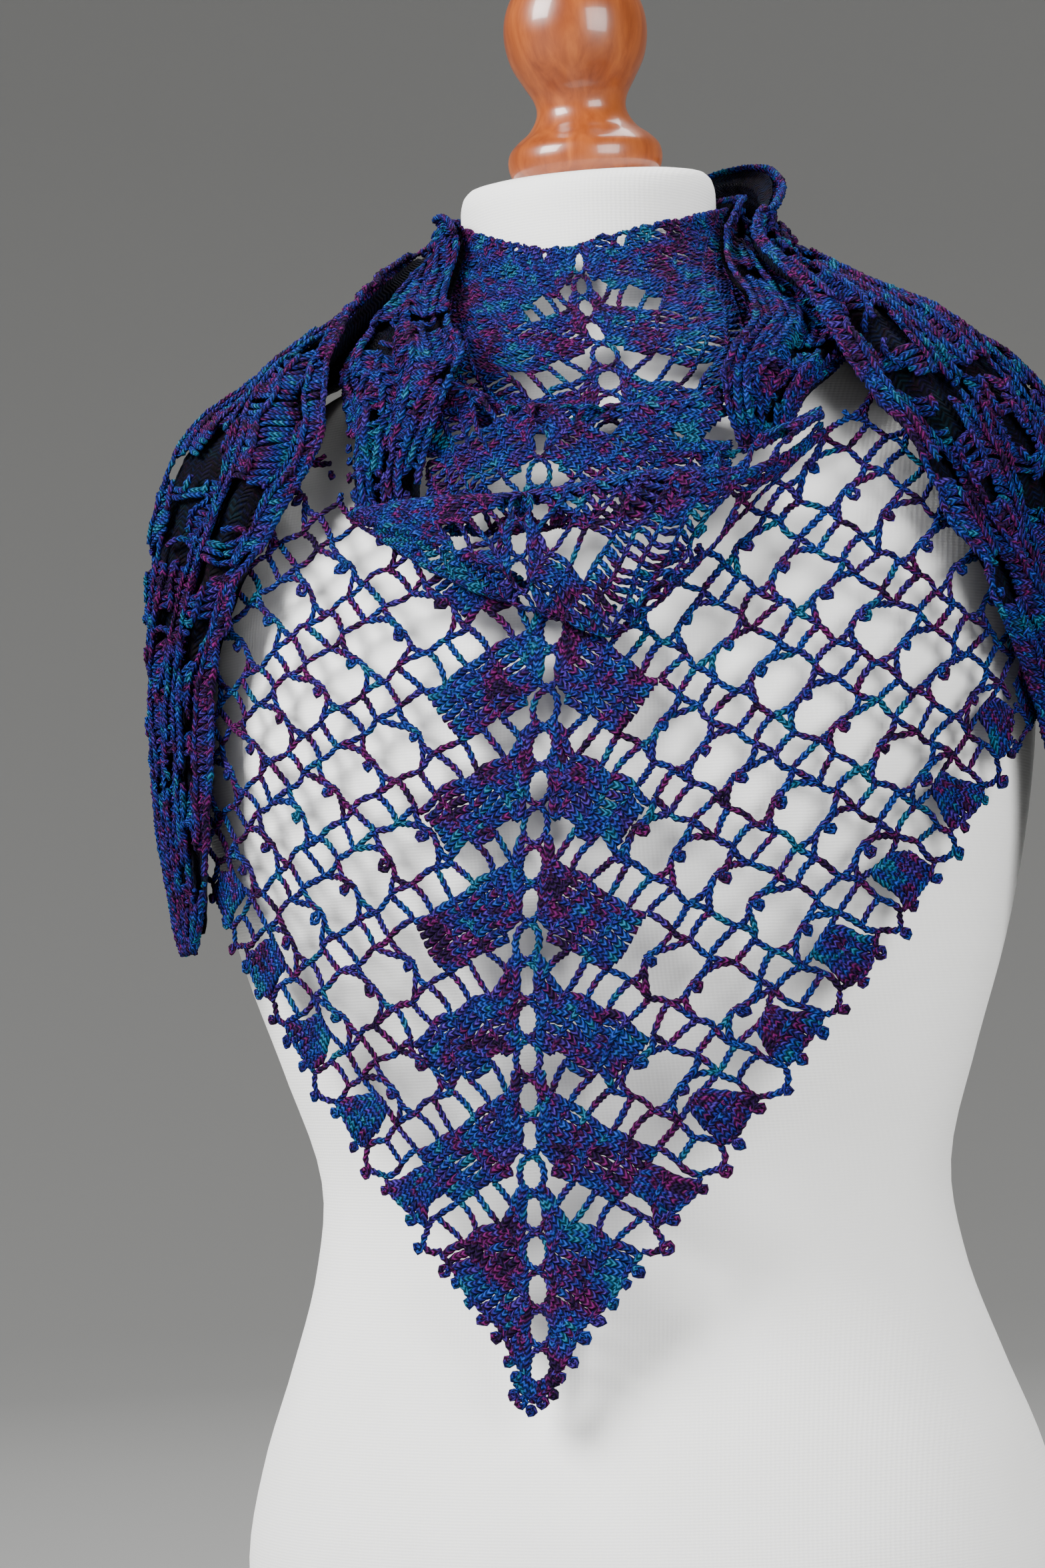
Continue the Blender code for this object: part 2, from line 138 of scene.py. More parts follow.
NECK_WRAP_LEFT = table(
    Section,
    (-10, 493, 3, -18, 493, 3, 0), (-9.8, 507, 9, -20.5, 508, 8, 1),
    (-6.5, 534, 20, -23.5, 530, 8, 1), (-6, 551, 20, -29, 545, 7, 1),
    (-14, 569, 14, -40, 562, 7, 2), (-25, 593, 10, -54, 578, 7, 2), (-40, 627, 6, -70, 592, 6, 2),
    (-75, 633, 4, -88, 580, 5, 1), (-110, 635, 4, -116, 577, 5, 1),
    (-145, 635, 4, -145, 577, 5, 1), (-179.2, 635, 4, -179.2, 577, 5, 1),
)
NECK_WRAP_RIGHT = table(
    Section,
    (28.8, 508, 3, 36, 518, 3, 0), (27.6, 525, 14, 40, 529, 9, 1), (30, 541, 17, 48, 541, 8, 2),
    (43, 564, 12, 60, 557, 7, 2), (60, 595, 8, 76, 576, 7, 2), (84, 625, 7, 93, 586, 6, 1),
    (115, 633, 4, 124, 579, 5, 1), (145, 635, 4, 146, 577, 5, 1),
    (179.2, 635, 4, 179.2, 577, 5, 1),
)
SHOULDER_LEFT = table(
    Section,
    (-79, 545, 2.5, -73, 416, 2.5, 0), (-95, 548, 2.5, -90, 447, 2.5, 0),
    (-112, 552, 2.5, -106, 478, 2.5, 0), (-130, 558, 2.5, -123, 508, 3, 1),
    (-148, 565, 2.5, -143, 536, 3, 1), (-164, 570, 2.5, -161, 556, 3, 1),
    (-179.2, 572, 2.5, -179.2, 563, 2.5, 0),
)
SHOULDER_RIGHT = table(
    Section,
    (79, 547, 2.5, 72, 400, 2.5, 0), (95, 550, 2.5, 89, 436, 2.5, 0),
    (112, 553, 2.5, 105, 470, 2.5, 0), (130, 559, 2.5, 122, 503, 3, 1),
    (148, 565, 2.5, 142, 534, 3, 1), (164, 570, 2.5, 160, 555, 3, 1),
    (179.2, 572, 2.5, 179.2, 563, 2.5, 0),
)
TAIL_LEFT = table(
    Section,
    (166, 622, 22, 166, 610, 22, 0), (182, 632, 22, 182, 596, 24, 3),
    (210, 638, 21, 212, 590, 23, 3), (240, 634, 18, 240, 576, 19, 3),
    (273, 612, 16, 258, 556, 12, 2), (300, 588, 16, 264, 545, 9, 2),
    (322, 562, 16, 267, 536, 8, 2), (332, 541, 16, 270, 526, 8, 3),
    (335, 519, 15, 274, 508, 8, 3), (330, 498, 10, 276, 482, 8, 3), (324, 466, 9, 278, 458, 8, 3),
    (318, 431, 9, 281, 427, 9, 3), (316, 394, 9, 284, 392, 10, 3),
    (311, 352, 10, 287, 350, 10, 2), (304, 328, 11, 292, 328, 11, 0),
)
TAIL_RIGHT = table(
    Section,
    (202, 622, 13, 202, 604, 14, 0), (180, 640, 13, 180, 598, 14, 3),
    (148, 650, 13, 150, 592, 15, 3), (114, 644, 14, 126, 576, 15, 3),
    (86, 624, 16, 112, 564, 16, 3), (66, 596, 17, 106, 555, 16, 4),
    (51, 562, 19, 102, 548, 15, 4), (46, 532, 17, 100, 535, 14, 4),
    (55, 486, 10, 100, 510, 13, 4), (66, 446, 9, 101, 470, 13, 3), (76, 411, 9, 103, 424, 13, 3),
    (83, 372, 9, 103, 380, 12, 3), (88, 338, 10, 101, 342, 12, 2), (93, 316, 11, 97, 318, 12, 0),
)
STRIPS = [
    Strip("cowl_upper", COWL_UPPER, 0, 0.0, 0),
    Strip("cowl_middle", COWL_MIDDLE, 0, 0.0, 1),
    Strip("cowl_lower", COWL_LOWER, 0, 0.0, 1),
    Strip("neck_wrap_left", NECK_WRAP_LEFT, 2.5, 1.5, 0),
    Strip("neck_wrap_right", NECK_WRAP_RIGHT, 2.5, 1.5, 0),
    Strip("tail_left", TAIL_LEFT, 3, 2.6, 0),
    Strip("tail_right", TAIL_RIGHT, 3, 2.6, 0),
    Strip("shoulder_left", SHOULDER_LEFT, 0, 0.0, 0),
    Strip("shoulder_right", SHOULDER_RIGHT, 0, 0.0, 0),
]

# The knob's turned profile above the neck: height and radius, in mm.
Turn = namedtuple("Turn", "height radius")
KNOB_PROFILE = table(
    Turn,
    (0, 28.5), (3, 31.3), (8, 32.5), (13, 31.5), (17, 28), (21.5, 22.5), (28, 19), (34, 19.6),
    (41, 23.5), (50, 28.2), (61, 30.2), (72, 28.6), (82, 23), (89, 15), (93, 6),
)


def catmull_rom(rows, place):
    """A smooth curve through the rows of a table at places counted in rows from 0."""
    rows = np.asarray(rows, float)
    place = np.clip(np.asarray(place, float), 0, len(rows) - 1)
    left = np.minimum(place.astype(int), len(rows) - 2)
    t = (place - left)[..., None]
    before = rows[np.maximum(left - 1, 0)]
    start, end = rows[left], rows[left + 1]
    after = rows[np.minimum(left + 2, len(rows) - 1)]
    return 0.5 * (
        2 * start
        + (end - before) * t
        + (2 * before - 5 * start + 4 * end - after) * t**2
        + (3 * start - before - 3 * end + after) * t**3
    )


def running_length(points):
    """How far along each line of a grid of points each point is; the lines run down axis 1."""
    steps = np.linalg.norm(np.diff(points, axis=1), axis=2)
    return np.concatenate([np.zeros((len(points), 1)), np.cumsum(steps, axis=1)], axis=1)


def ring_at(rings, height):
    """The half width, half depth, centre y and exponent of the section at a height in metres."""
    heights = np.array([ring.height for ring in rings]) * MM
    place = np.interp(height, heights, np.arange(len(rings)))
    values = catmull_rom([ring[1:] for ring in rings], place)
    return values[..., 0] * MM, values[..., 1] * MM, values[..., 2] * MM, values[..., 3]


def cap_tilt(height, y):
    """How far the neck's slope lifts a point; it sets in above the shoulders."""
    share = np.clip((height - CAP_FROM) / CAP_BLEND, 0, 1)
    return CAP_SLOPE * (y - CAP_CENTRE_Y) * share


def ring_point(rings, angle, height):
    half_width, half_depth, centre_y, exponent = ring_at(rings, height)
    sine, cosine = np.sin(angle), np.cos(angle)
    x = half_width * np.sign(sine) * np.abs(sine) ** (2 / exponent)
    y = centre_y - half_depth * np.sign(cosine) * np.abs(cosine) ** (2 / exponent)
    return np.stack([x + SHIFT_X, y + SHIFT_Y, height + cap_tilt(height, y)], axis=-1)


def envelope(angle, height, out):
    """The point at a distance out from the envelope, along its normal."""
    angle, height = np.asarray(angle, float), np.asarray(height, float)
    round_step, up_step = math.radians(0.8), 0.8 * MM
    around = ring_point(ENVELOPE_RINGS, angle + round_step, height) - ring_point(
        ENVELOPE_RINGS, angle - round_step, height
    )
    upward = ring_point(ENVELOPE_RINGS, angle, height + up_step) - ring_point(
        ENVELOPE_RINGS, angle, height - up_step
    )
    normal = np.cross(around, upward)
    normal /= np.linalg.norm(normal, axis=-1, keepdims=True)
    return ring_point(ENVELOPE_RINGS, angle, height) + normal * np.asarray(out)[..., None]


# Where distances round the envelope are measured: mm of height and degrees from the front.
LEVEL_STEP = 6
LEVELS = np.arange(100, 671, LEVEL_STEP) * MM
ANGLES = np.radians(np.arange(0, 181, 2))


def angle_at(across, height):
    """The angle at a distance round the envelope from the front, at each height."""
    across, height = np.broadcast_arrays(np.asarray(across, float), np.asarray(height, float))
    points = ring_point(ENVELOPE_RINGS, ANGLES[None, :], np.repeat(LEVELS[:, None], len(ANGLES), 1))
    travelled = running_length(points)
    place = np.clip((height.ravel() - LEVELS[0]) / (LEVEL_STEP * MM), 0, len(LEVELS) - 1.001)
    low = place.astype(int)
    part = (place - low)[:, None]
    rows = travelled[low] * (1 - part) + travelled[low + 1] * part
    wanted = np.abs(across.ravel())[:, None]
    step = np.clip((rows < wanted).sum(axis=1), 1, rows.shape[1] - 1)
    index = np.arange(len(step))
    before, after = rows[index, step - 1], rows[index, step]
    found = ANGLES[step - 1] + ANGLES[1] * (wanted[:, 0] - before) / (after - before)
    return np.copysign(found, across.ravel()).reshape(across.shape)


def panel_top(across):
    places = np.interp(across, [edge.across * MM for edge in PANEL_TOP], np.arange(len(PANEL_TOP)))
    return catmull_rom([[edge.height] for edge in PANEL_TOP], places)[..., 0] * MM


def panel_bottom(across):
    blunt = np.hypot(across, POINT_BLUNTNESS) - POINT_BLUNTNESS
    return POINT_HEIGHT + blunt / np.tan(np.where(across > 0, EDGE_ANGLE_RIGHT, EDGE_ANGLE_LEFT))


def panel_point(across, height, lift):
    """A point of the front panel, at a distance round the form and a height."""
    top = panel_top(across)
    share = np.clip((top - height) / np.maximum(top - panel_bottom(across), 8 * MM), 0, 1)
    fade = (1 - share) ** 2 * np.minimum(1, 4 * np.abs(1 - np.abs(across) / PANEL_HALF))
    folds = FOLD_DEPTH * fade * np.sin(across / FOLD_ACROSS + height / FOLD_UP)
    return envelope(angle_at(across, height), height, PANEL_OUT + folds + lift)


def strip_point(strip, along, across, lift=0.0):
    """A point of a strip: along counts its sections and across runs from 0 to 1."""
    values = np.moveaxis(catmull_rom(strip.sections, along), -1, 0)
    angle_a, height_a, out_a, angle_b, height_b, out_b, belly = values
    curl_share = CURL_SHARE if strip.curl else 0.0
    flat = np.clip((across - curl_share) / (1 - curl_share), 0, 1)
    angle = np.radians(angle_a + (angle_b - angle_a) * flat)
    height = (height_a + (height_b - height_a) * flat) * MM
    fade = np.sin(np.pi * np.clip(along / (len(strip.sections) - 1), 0.06, 0.97)) ** 0.4
    pleat = strip.pleat_depth * fade * np.sin(2 * np.pi * strip.pleats * flat + along / 2)
    out = (out_a + (out_b - out_a) * flat + belly * 4 * flat * (1 - flat) + pleat) * MM
    if strip.curl:
        turn = np.pi * (1 - np.clip(across / curl_share, 0, 1))
        out = out - CURL_RADIUS * (1 - np.cos(turn))
        height = height - CURL_RADIUS * (1 - np.sin(turn)) * (1 - flat)
    return envelope(angle, height, out + lift)


# A crease runs from one share of a strip's length to another, and across it from one share of its
# width to another. Its depth is in mm, out from the cloth or into it, and its width is a share.
Crease = namedtuple("Crease", "start end share_start share_end depth width")
CREASES = {
    "tail_left": table(
        Crease,
        (0.02, 0.95, 0.035, 0.035, 4.7, 0.035), (0.08, 0.92, 0.10, 0.11, -3.4, 0.030),
        (0.05, 0.55, 0.20, 0.42, 3.9, 0.050), (0.10, 0.80, 0.50, 0.30, -5.2, 0.045),
        (0.20, 0.97, 0.66, 0.55, 4.4, 0.055), (0.35, 0.95, 0.84, 0.76, -4.7, 0.050),
        (0.45, 0.99, 0.14, 0.24, 3.9, 0.060), (0.55, 0.90, 0.40, 0.44, -3.9, 0.035),
        (0.02, 0.40, 0.80, 0.62, 3.4, 0.050), (0.60, 0.98, 0.95, 0.90, 3.1, 0.050),
    ),
    "tail_right": table(
        Crease,
        (0.01, 0.99, 0.035, 0.040, 6.8, 0.045), (0.04, 0.96, 0.115, 0.13, -3.9, 0.030),
        (0.02, 0.50, 0.10, 0.16, 4.4, 0.060), (0.05, 0.60, 0.30, 0.26, -5.5, 0.045),
        (0.15, 0.75, 0.46, 0.40, 3.9, 0.050), (0.25, 0.95, 0.60, 0.56, -4.9, 0.040),
        (0.40, 0.98, 0.78, 0.70, 4.2, 0.060), (0.50, 0.92, 0.90, 0.86, -3.9, 0.045),
        (0.55, 0.99, 0.08, 0.30, 4.7, 0.070), (0.10, 0.45, 0.72, 0.80, 3.4, 0.050),
    ),
    "neck_wrap_left": table(
        Crease,
        (0.00, 0.50, 0.22, 0.30, 3.1, 0.060), (0.05, 0.60, 0.48, 0.46, -4.2, 0.050),
        (0.00, 0.45, 0.72, 0.66, 3.4, 0.060), (0.10, 0.90, 0.86, 0.84, -3.1, 0.045),
        (0.50, 0.99, 0.30, 0.40, -3.6, 0.070),
    ),
    "neck_wrap_right": table(
        Crease,
        (0.00, 0.50, 0.25, 0.20, 3.4, 0.060), (0.05, 0.70, 0.45, 0.50, -4.2, 0.050),
        (0.00, 0.50, 0.70, 0.74, 3.1, 0.055), (0.15, 0.90, 0.90, 0.84, -2.9, 0.045),
        (0.50, 0.99, 0.34, 0.30, -3.6, 0.070),
    ),
    "cowl_upper": table(
        Crease,
        (0.05, 0.75, 0.60, 0.86, 2.1, 0.060), (0.30, 0.95, 0.90, 0.55, -1.8, 0.050),
    ),
    "cowl_middle": table(
        Crease,
        (0.00, 0.60, 0.62, 0.80, 2.1, 0.050), (0.40, 1.00, 0.90, 0.66, -2.1, 0.050),
    ),
    "cowl_lower": table(
        Crease,
        (0.00, 0.55, 0.60, 0.84, 2.3, 0.050), (0.45, 1.00, 0.88, 0.62, -2.3, 0.050),
    ),
    "shoulder_left": table(
        Crease,
        (0.05, 0.80, 0.30, 0.20, 3.1, 0.080), (0.15, 0.95, 0.60, 0.50, -3.1, 0.080),
    ),
    "shoulder_right": table(
        Crease,
        (0.05, 0.85, 0.25, 0.22, 2.9, 0.080), (0.10, 0.90, 0.55, 0.48, -3.4, 0.080),
    ),
}


def crease_lift(name, along, across):
    """How far a strip's creases move its cloth, at shares of its length and width."""
    total = np.zeros(np.broadcast(along, across).shape)
    for crease in CREASES[name]:
        part = np.clip((along - crease.start) / (crease.end - crease.start), 0, 1)
        middle = crease.share_start + (crease.share_end - crease.share_start) * part
        profile = np.exp(-(((across - middle) / crease.width) ** 2))
        total += crease.depth * np.sin(np.pi * part) ** 0.6 * profile
    return total * MM


CLOTH_ALONG = 61            # places where a strip is measured, along and across
CLOTH_ACROSS = 41


class Cloth:
    """A strip measured out in metres along its middle and across from its upper edge.

    edge, if it is given, is a line that the strip's start is bent to meet.
    """

    def __init__(self, strip, edge=None):
        self.strip = strip
        self.edge = edge
        self.count = len(strip.sections) - 1
        self.along = np.linspace(0, self.count, CLOTH_ALONG)
        self.across = np.linspace(0, 1, CLOTH_ACROSS)
        along, across = np.meshgrid(self.along, self.across, indexing="ij")
        points = self.raw(along, across, 0.0)
        self.travelled = running_length(points[None, :, CLOTH_ACROSS // 2])[0]
        crossed = running_length(points)
        self.widths = crossed[:, -1]
        full = crossed[5:-5]    # away from the narrow ends
        self.crossed = (full / full[:, -1:]).mean(axis=0)
        self.length = self.travelled[-1]

    def raw(self, along, across, lift):
        points = strip_point(self.strip, along, across, lift)
        if self.edge is None:
            return points
        start = strip_point(self.strip, np.zeros_like(along), across, lift)
        fade = (1 - along / self.count)[..., None] ** 3
        return points + (self.edge(across, lift) - start) * fade

    def width(self, along_length):
        return np.interp(along_length, self.travelled, self.widths)

    def point(self, along_length, share, lift):
        """share is the part of the width crossed from the upper edge."""
        along = np.interp(along_length, self.travelled, self.along)
        across = np.interp(share, self.crossed, self.across)
        return self.raw(along, across, lift + crease_lift(self.strip.name, along / self.count, share))


# The lace's chart, in mm.
ROW = 9.4                   # from one row of stitches to the next
SPINE_STEP = 14.8           # the same, measured down the spine
APEX_SHIFT = 12.9           # how far a row starts out from the row below
REPEAT = 3 * APEX_SHIFT     # a block and a ladder
LADDER = 13.0
FIRST_LADDER = 5 * APEX_SHIFT + 1.5
SPINE_GAP = 7.0             # from the spine to the first stitch
SPINE_FOOT = 4.0            # the first row starts this far above the cloth's point
SPINE_TURN = math.radians(6)    # rows run steeper beside the spine, by this much
TURN_REACH = 45.0
EDGE_OPEN = math.radians(1.2)   # the row's angle makes room for the scallops below it
HOLE_HALF_WIDTH = 4.9       # of the spine's holes
HOLE_HALF_HEIGHT = 6.9
POINT_RISE = 0.75           # the point's edges rise this much for each mm aside
STITCH = 3.05               # from one stitch of a block to the next
RIDGE_LENGTH = 7.4          # of one stretch of a gathered ridge
HOLE_SPACING = 58.0         # rows times mm of gathered cloth for each hole, where it is most open
LOOP_SPACING = 8.0          # along gathered cloth, between the loops that lie across it
LOOP_RISE = 1.8             # how far they stand out
BORDER_CHAIN = 12.0         # of one loop of the chain along a swag's lower edge
BORDER_BOW = 1.2            # how far that loop hangs
PICOT_DROP = 3.4            # from the lower edge down to a picot's middle
PICOT_RADIUS = 1.5
UNEVEN_LIFT = 0.12          # how much one strand stands out from the next
UNEVEN_GIRTH = 0.04         # and how much thicker it is, as a share
UNEVEN_JOINT = 0.5          # how far a crossing strays from its place
UNEVEN_RIDGE = 0.8          # how far a gathered ridge bows
END_TAPER = 0.8             # a strand's thickness at its ends, as a share of the rest
FOLDED_PICOTS = 9.3         # along the edges of gathered cloth, between its picots
LEAN = 1.0                  # stitches of every other row lean the other way
FOLDED_LEAN = 3.6           # the same in gathered cloth, where rows are pulled along each other
FOLDED_STITCH = 3.3
FLATNESS = 0.72             # a strand's thickness as a share of its width

# Ways a strand is worked: its thickness, how far it stands out, how much it swells and narrows,
# how many times its own length of yarn it takes, and the length between the rings of its tube.
Way = namedtuple("Way", "radius lift beads use step")
POST = Way(1.78, 0.35, 0.12, 4.0, 1.7)
RIDGE = Way(1.32, 0.65, 0.20, 4.0, 1.5)
CHAIN = Way(1.36, 0.1, 0.20, 4.0, 1.4)
LONG_STITCH = Way(1.36, 0.3, 0.16, 3.6, 1.5)
PICOT = Way(1.38, 1.1, 0.15, 3.6, 1.3)
FOLDED_POST = Way(1.50, 0.35, 0.13, 4.0, 3.0)   # in gathered cloth, where little of it shows
FOLDED_RIDGE = Way(1.60, 1.5, 0.22, 4.0, 1.7)

# A strand as it is made. Its start is how much yarn was used before it, in mm.
Strand = namedtuple("Strand", "points lift radius beads start use")


class Lace:
    """Strands of yarn, in the order they are worked."""

    def __init__(self, shows, seed):
        self.strands = []
        self.shows = shows
        self.worked = 0.0
        self.random = np.random.default_rng(seed)

    def add(self, points, way, rise=0.0):
        """Adds a strand through chart points, as far as it shows."""
        points = np.asarray(points, float)
        lengths = np.linalg.norm(np.diff(points, axis=0), axis=1)
        total = lengths.sum()
        count = max(2, round(total / way.step))
        travelled = np.concatenate([[0], np.cumsum(lengths)])
        places = np.linspace(0, total, count + 1)
        sampled = [np.interp(places, travelled, points[:, i]) for i in (0, 1)]
        shown = np.flatnonzero(self.shows(*sampled))
        if len(shown) < 2:
            return
        kept = slice(shown[0], shown[-1] + 1)
        sampled = [values[kept] for values in sampled]
        places = places[kept]
        lift = way.lift + rise * np.sin(np.pi * places / total)
        lift = lift + self.random.normal(0, UNEVEN_LIFT)
        radius = way.radius * self.random.normal(1, UNEVEN_GIRTH)
        points = np.stack(sampled, axis=-1)
        self.strands.append(Strand(points, lift, radius, way.beads, self.worked, way.use))
        self.worked += total * way.use

    def curve(self, start, bend, end, way, rise=0.0):
        """A strand that bows towards a point on its way."""
        t = np.linspace(0, 1, 9)[:, None]
        start, bend, end = (np.asarray(p, float) for p in (start, bend, end))
        middle = 2 * bend - (start + end) / 2
        self.add((1 - t) ** 2 * start + 2 * t * (1 - t) * middle + t**2 * end, way, rise)

    def picot(self, r, w):
        """A small loop of yarn drawn up into a knot."""
        t = np.linspace(0, 2 * np.pi * 1.15, 10)
        spread = PICOT_RADIUS + self.random.normal(0, UNEVEN_LIFT)
        self.add(np.stack([r + spread * np.sin(t), w + spread * np.cos(t)], axis=-1), PICOT)


def ladder_start(column):
    return FIRST_LADDER + REPEAT * column


def is_dense(column, row):
    """A block stays solid for the first rows that it runs out from the spine."""
    return column < 0 or row >= 3 * column + 2


def work_block(lace, row, start, end, reach):
    """Solid stitches of one row from start to end, as far as they lie within reach."""
    low, high = reach
    lean = LEAN if row % 2 else -LEAN
    at = end - STITCH * (0.4 + 0.4 * (row % 2))
    while at > max(start, low):
        lace.add([(at, row * ROW), (max(at + lean, high), (row + 1) * ROW)], POST)
        at -= STITCH
    if max(start, high) < end:
        lace.add([(max(start, high), (row + 1) * ROW), (end, (row + 1) * ROW)], RIDGE)
    if row == 0:
        lace.add([(max(start, low), 0), (end, 0)], RIDGE)


def work_crossing(lace, start, end, row):
    """Four strands that meet over two rows, with a picot where they do."""
    foot, top = row * ROW, (row + 1) * ROW
    joint = np.array([start + 0.43 * (end - start), (row + 0.85) * ROW])
    joint += lace.random.normal(0, UNEVEN_JOINT, 2)

    def bend(corner, share, aside):
        """A point on the way from a corner to the joint, pushed aside by some mm."""
        return joint * share + np.array(corner) * (1 - share) + aside

    lace.curve((end, foot), bend((end, foot), 0.5, (0.4, 2.0)), joint, CHAIN)
    lace.curve(joint, bend((start, foot), 0.5, (-0.6, 1.6)), (start, foot), LONG_STITCH)
    lace.curve((end, top), bend((end, top), 0.45, (0.6, -1.7)), joint, LONG_STITCH, 0.3)
    lace.curve(joint, bend((start, top), 0.5, (-0.8, -1.6)), (start, top), CHAIN)
    lace.picot(joint[0] + 1.6, joint[1] - 2.6)


FAN_STITCHES = 8
FAN_DIP = 1.4               # how far its edge bows down


def work_fan(lace, start, end):
    """The solid scallop at the lower edge, over the first two rows, with its picots."""
    width, middle, neck = end - start, (start + end) / 2, 2 * ROW - 0.8
    for step in range(FAN_STITCHES):
        share = (step + 0.5) / FAN_STITCHES
        top = start + width * (0.30 + 0.40 * share)
        waist = start + width * (0.18 + 0.64 * share)
        foot = start + width * (0.06 + 0.88 * share)
        lace.add([(top, 2 * ROW - 0.6), (waist, ROW)], POST)
        lace.add([(waist, ROW), (foot, -FAN_DIP * math.sin(math.pi * share))], POST)
    for inset, height, bow in (0.16, ROW, ROW - 1), (0.04, 0.5, -1.6):
        inset = inset * width
        lace.curve((start + inset, height), (middle, bow), (end - inset, height), RIDGE)
    left, right = (start + width * 0.3, neck), (end - width * 0.3, neck)
    lace.add([(start, 2 * ROW), left], CHAIN)
    lace.add([left, right], RIDGE)
    lace.add([right, (end, 2 * ROW)], CHAIN)
    lace.picot(start + width * 0.22, -PICOT_DROP)
    lace.picot(end - width * 0.22, -PICOT_DROP)


def work_mesh(lace, start, end, row):
    """What lies between two ladders: a fan at the edge, and one open cell for each two rows."""
    if row == 0:
        work_fan(lace, start, end)
    elif row % 2 == 0:
        work_crossing(lace, start, end, row)


def work_ladder(lace, start, row, row_start, solid_before, solid_after):
    """The chain of one row across a ladder and, beside open cells, the ladder's rails.

    At the lower edge a deeper chain, with a picot, joins one fan to the next.
    """
    end = start + LADDER
    top, foot = (row + 1) * ROW, row * ROW
    if start > row_start:
        lace.curve((start, top), ((start + end) / 2, top + 0.5), (end, top), CHAIN)
    if not solid_before and start > row_start:
        lace.curve((start, foot), (start - 0.5, (foot + top) / 2), (start, top), LONG_STITCH)
    if not solid_after and end > row_start:
        lace.curve((end, foot), (end + 0.5, (foot + top) / 2), (end, top), LONG_STITCH)
    if row == 0:
        middle = (start + end) / 2
        lace.curve((start + 0.5, 0.5), (middle, -4.2), (end - 0.5, 0.5), CHAIN)
        lace.picot(middle, -6.2)


def always_open(column, row):
    return True


def work_half(lace, rows, reach, from_spine=True, dense=is_dense, is_open=always_open):
    """One half of the lace, row by row from the lower edge.

    dense tells whether the cloth is solid before a ladder, and is_open whether the ladder is.
    """
    columns = int((reach - FIRST_LADDER) / REPEAT) + 2
    for row in range(*rows):
        low = row * APEX_SHIFT + SPINE_GAP if from_spine else 0.0
        high = low + (APEX_SHIFT if from_spine else 0.0)
        for column in range(-1, columns):
            start = ladder_start(column) + LADDER if column >= 0 else -1e3
            end = ladder_start(column + 1)
            if end > low:
                if dense(column, row):
                    work_block(lace, row, start, end, (low, high))
                else:
                    work_mesh(lace, start, end, row)
            solid = dense(column, row), dense(column + 1, row)
            if end + LADDER > high:
                work_ladder(lace, end, row, high - 2, *solid)
                if not is_open(column + 1, row):
                    work_block(lace, row, end, end + LADDER, (low, high))
    if rows[0] == 0 and from_spine:
        for at in np.arange(SPINE_GAP + 2, FIRST_LADDER, 8.6):
            lace.picot(at, 0.5 - PICOT_DROP)


def work_gathered(lace, rows, length, openness):
    """Rows that run a stretch's whole length, with long holes among them and loops across."""
    count = int(openness * rows * length / HOLE_SPACING)
    middle_r = lace.random.uniform(0, length, count)
    middle_row = lace.random.uniform(0.6, rows - 0.6, count)
    half_r = lace.random.uniform(5, 13, count)
    half_rows = lace.random.uniform(0.45, 1.25, count)

    def opened(at, row, size):
        along, across = (at - middle_r) / half_r, (row - middle_row) / half_rows
        return (along**2 + across**2 < size).any()

    for row in range(rows):
        lean = FOLDED_LEAN if row % 2 else -FOLDED_LEAN
        foot, top = row * ROW, (row + 1) * ROW
        for place in np.arange(0, length, FOLDED_STITCH):
            if not opened(place, row + 0.5, 1.0):
                lace.add([(place, foot), (place + lean, top)], FOLDED_POST)
        for place in np.arange(0, length, RIDGE_LENGTH):
            end = place + RIDGE_LENGTH
            if not opened(place + RIDGE_LENGTH / 2, row + 1, 0.8):
                middle = (place + end) / 2, top + lace.random.normal(0, UNEVEN_RIDGE)
                lace.curve((place, top), middle, (end, top), FOLDED_RIDGE)
    for at in lace.random.uniform(0, length - 20, int(length / LOOP_SPACING)):
        row, over = lace.random.uniform(0, rows - 3), lace.random.uniform(1, 3)
        ahead = lace.random.uniform(6, 22)
        bend = at + ahead * 0.3, (row + over * 0.8) * ROW
        lace.curve((at, row * ROW), bend, (at + ahead, (row + over) * ROW), CHAIN, LOOP_RISE)
    for at in np.arange(3, length, FOLDED_PICOTS):
        lace.picot(at, 1.6)
        lace.picot(at + 4, rows * ROW - 0.6)


def work_spine(lace, rows):
    """The oval holes down the middle; here r is across and w is a height above the point.

    Below the first hole a small fan of stitches closes the point.
    """
    t = np.linspace(0, 2 * np.pi, 25)
    for row in range(*rows):
        middle = SPINE_FOOT + SPINE_STEP * (row + 0.7)
        oval = [HOLE_HALF_WIDTH * np.sin(t), middle + HOLE_HALF_HEIGHT * np.cos(t)]
        lace.add(np.stack(oval, axis=-1), CHAIN)
    if rows[0] == 0:
        for aside in np.arange(-8.4, 8.5, 2.1):
            foot = abs(aside) * POINT_RISE + 0.5
            lace.add([(aside * 0.6, SPINE_FOOT + 4.4 + abs(aside) * 0.4), (aside, foot)], POST)
        for aside in (-8.0, -4.2, 0.0, 4.2, 8.0):
            lace.picot(aside, abs(aside) * POINT_RISE - 2.2)
        lace.curve((-7, 7.6), (0, 3.2), (7, 7.6), RIDGE)


def loosen(r, w):
    """Handwork is never quite even: a smooth drift of every place on the chart, in mm."""
    along = 0.85 * np.sin(0.29 * r + 0.17 * w) + 0.8 * np.sin(0.11 * r - 0.37 * w + 2)
    up = 0.8 * np.sin(0.23 * r - 0.21 * w + 1) + 0.75 * np.sin(0.13 * r + 0.31 * w + 4)
    return r + along, w + up


ROW_REACH = 900.0           # mm, longer than any row


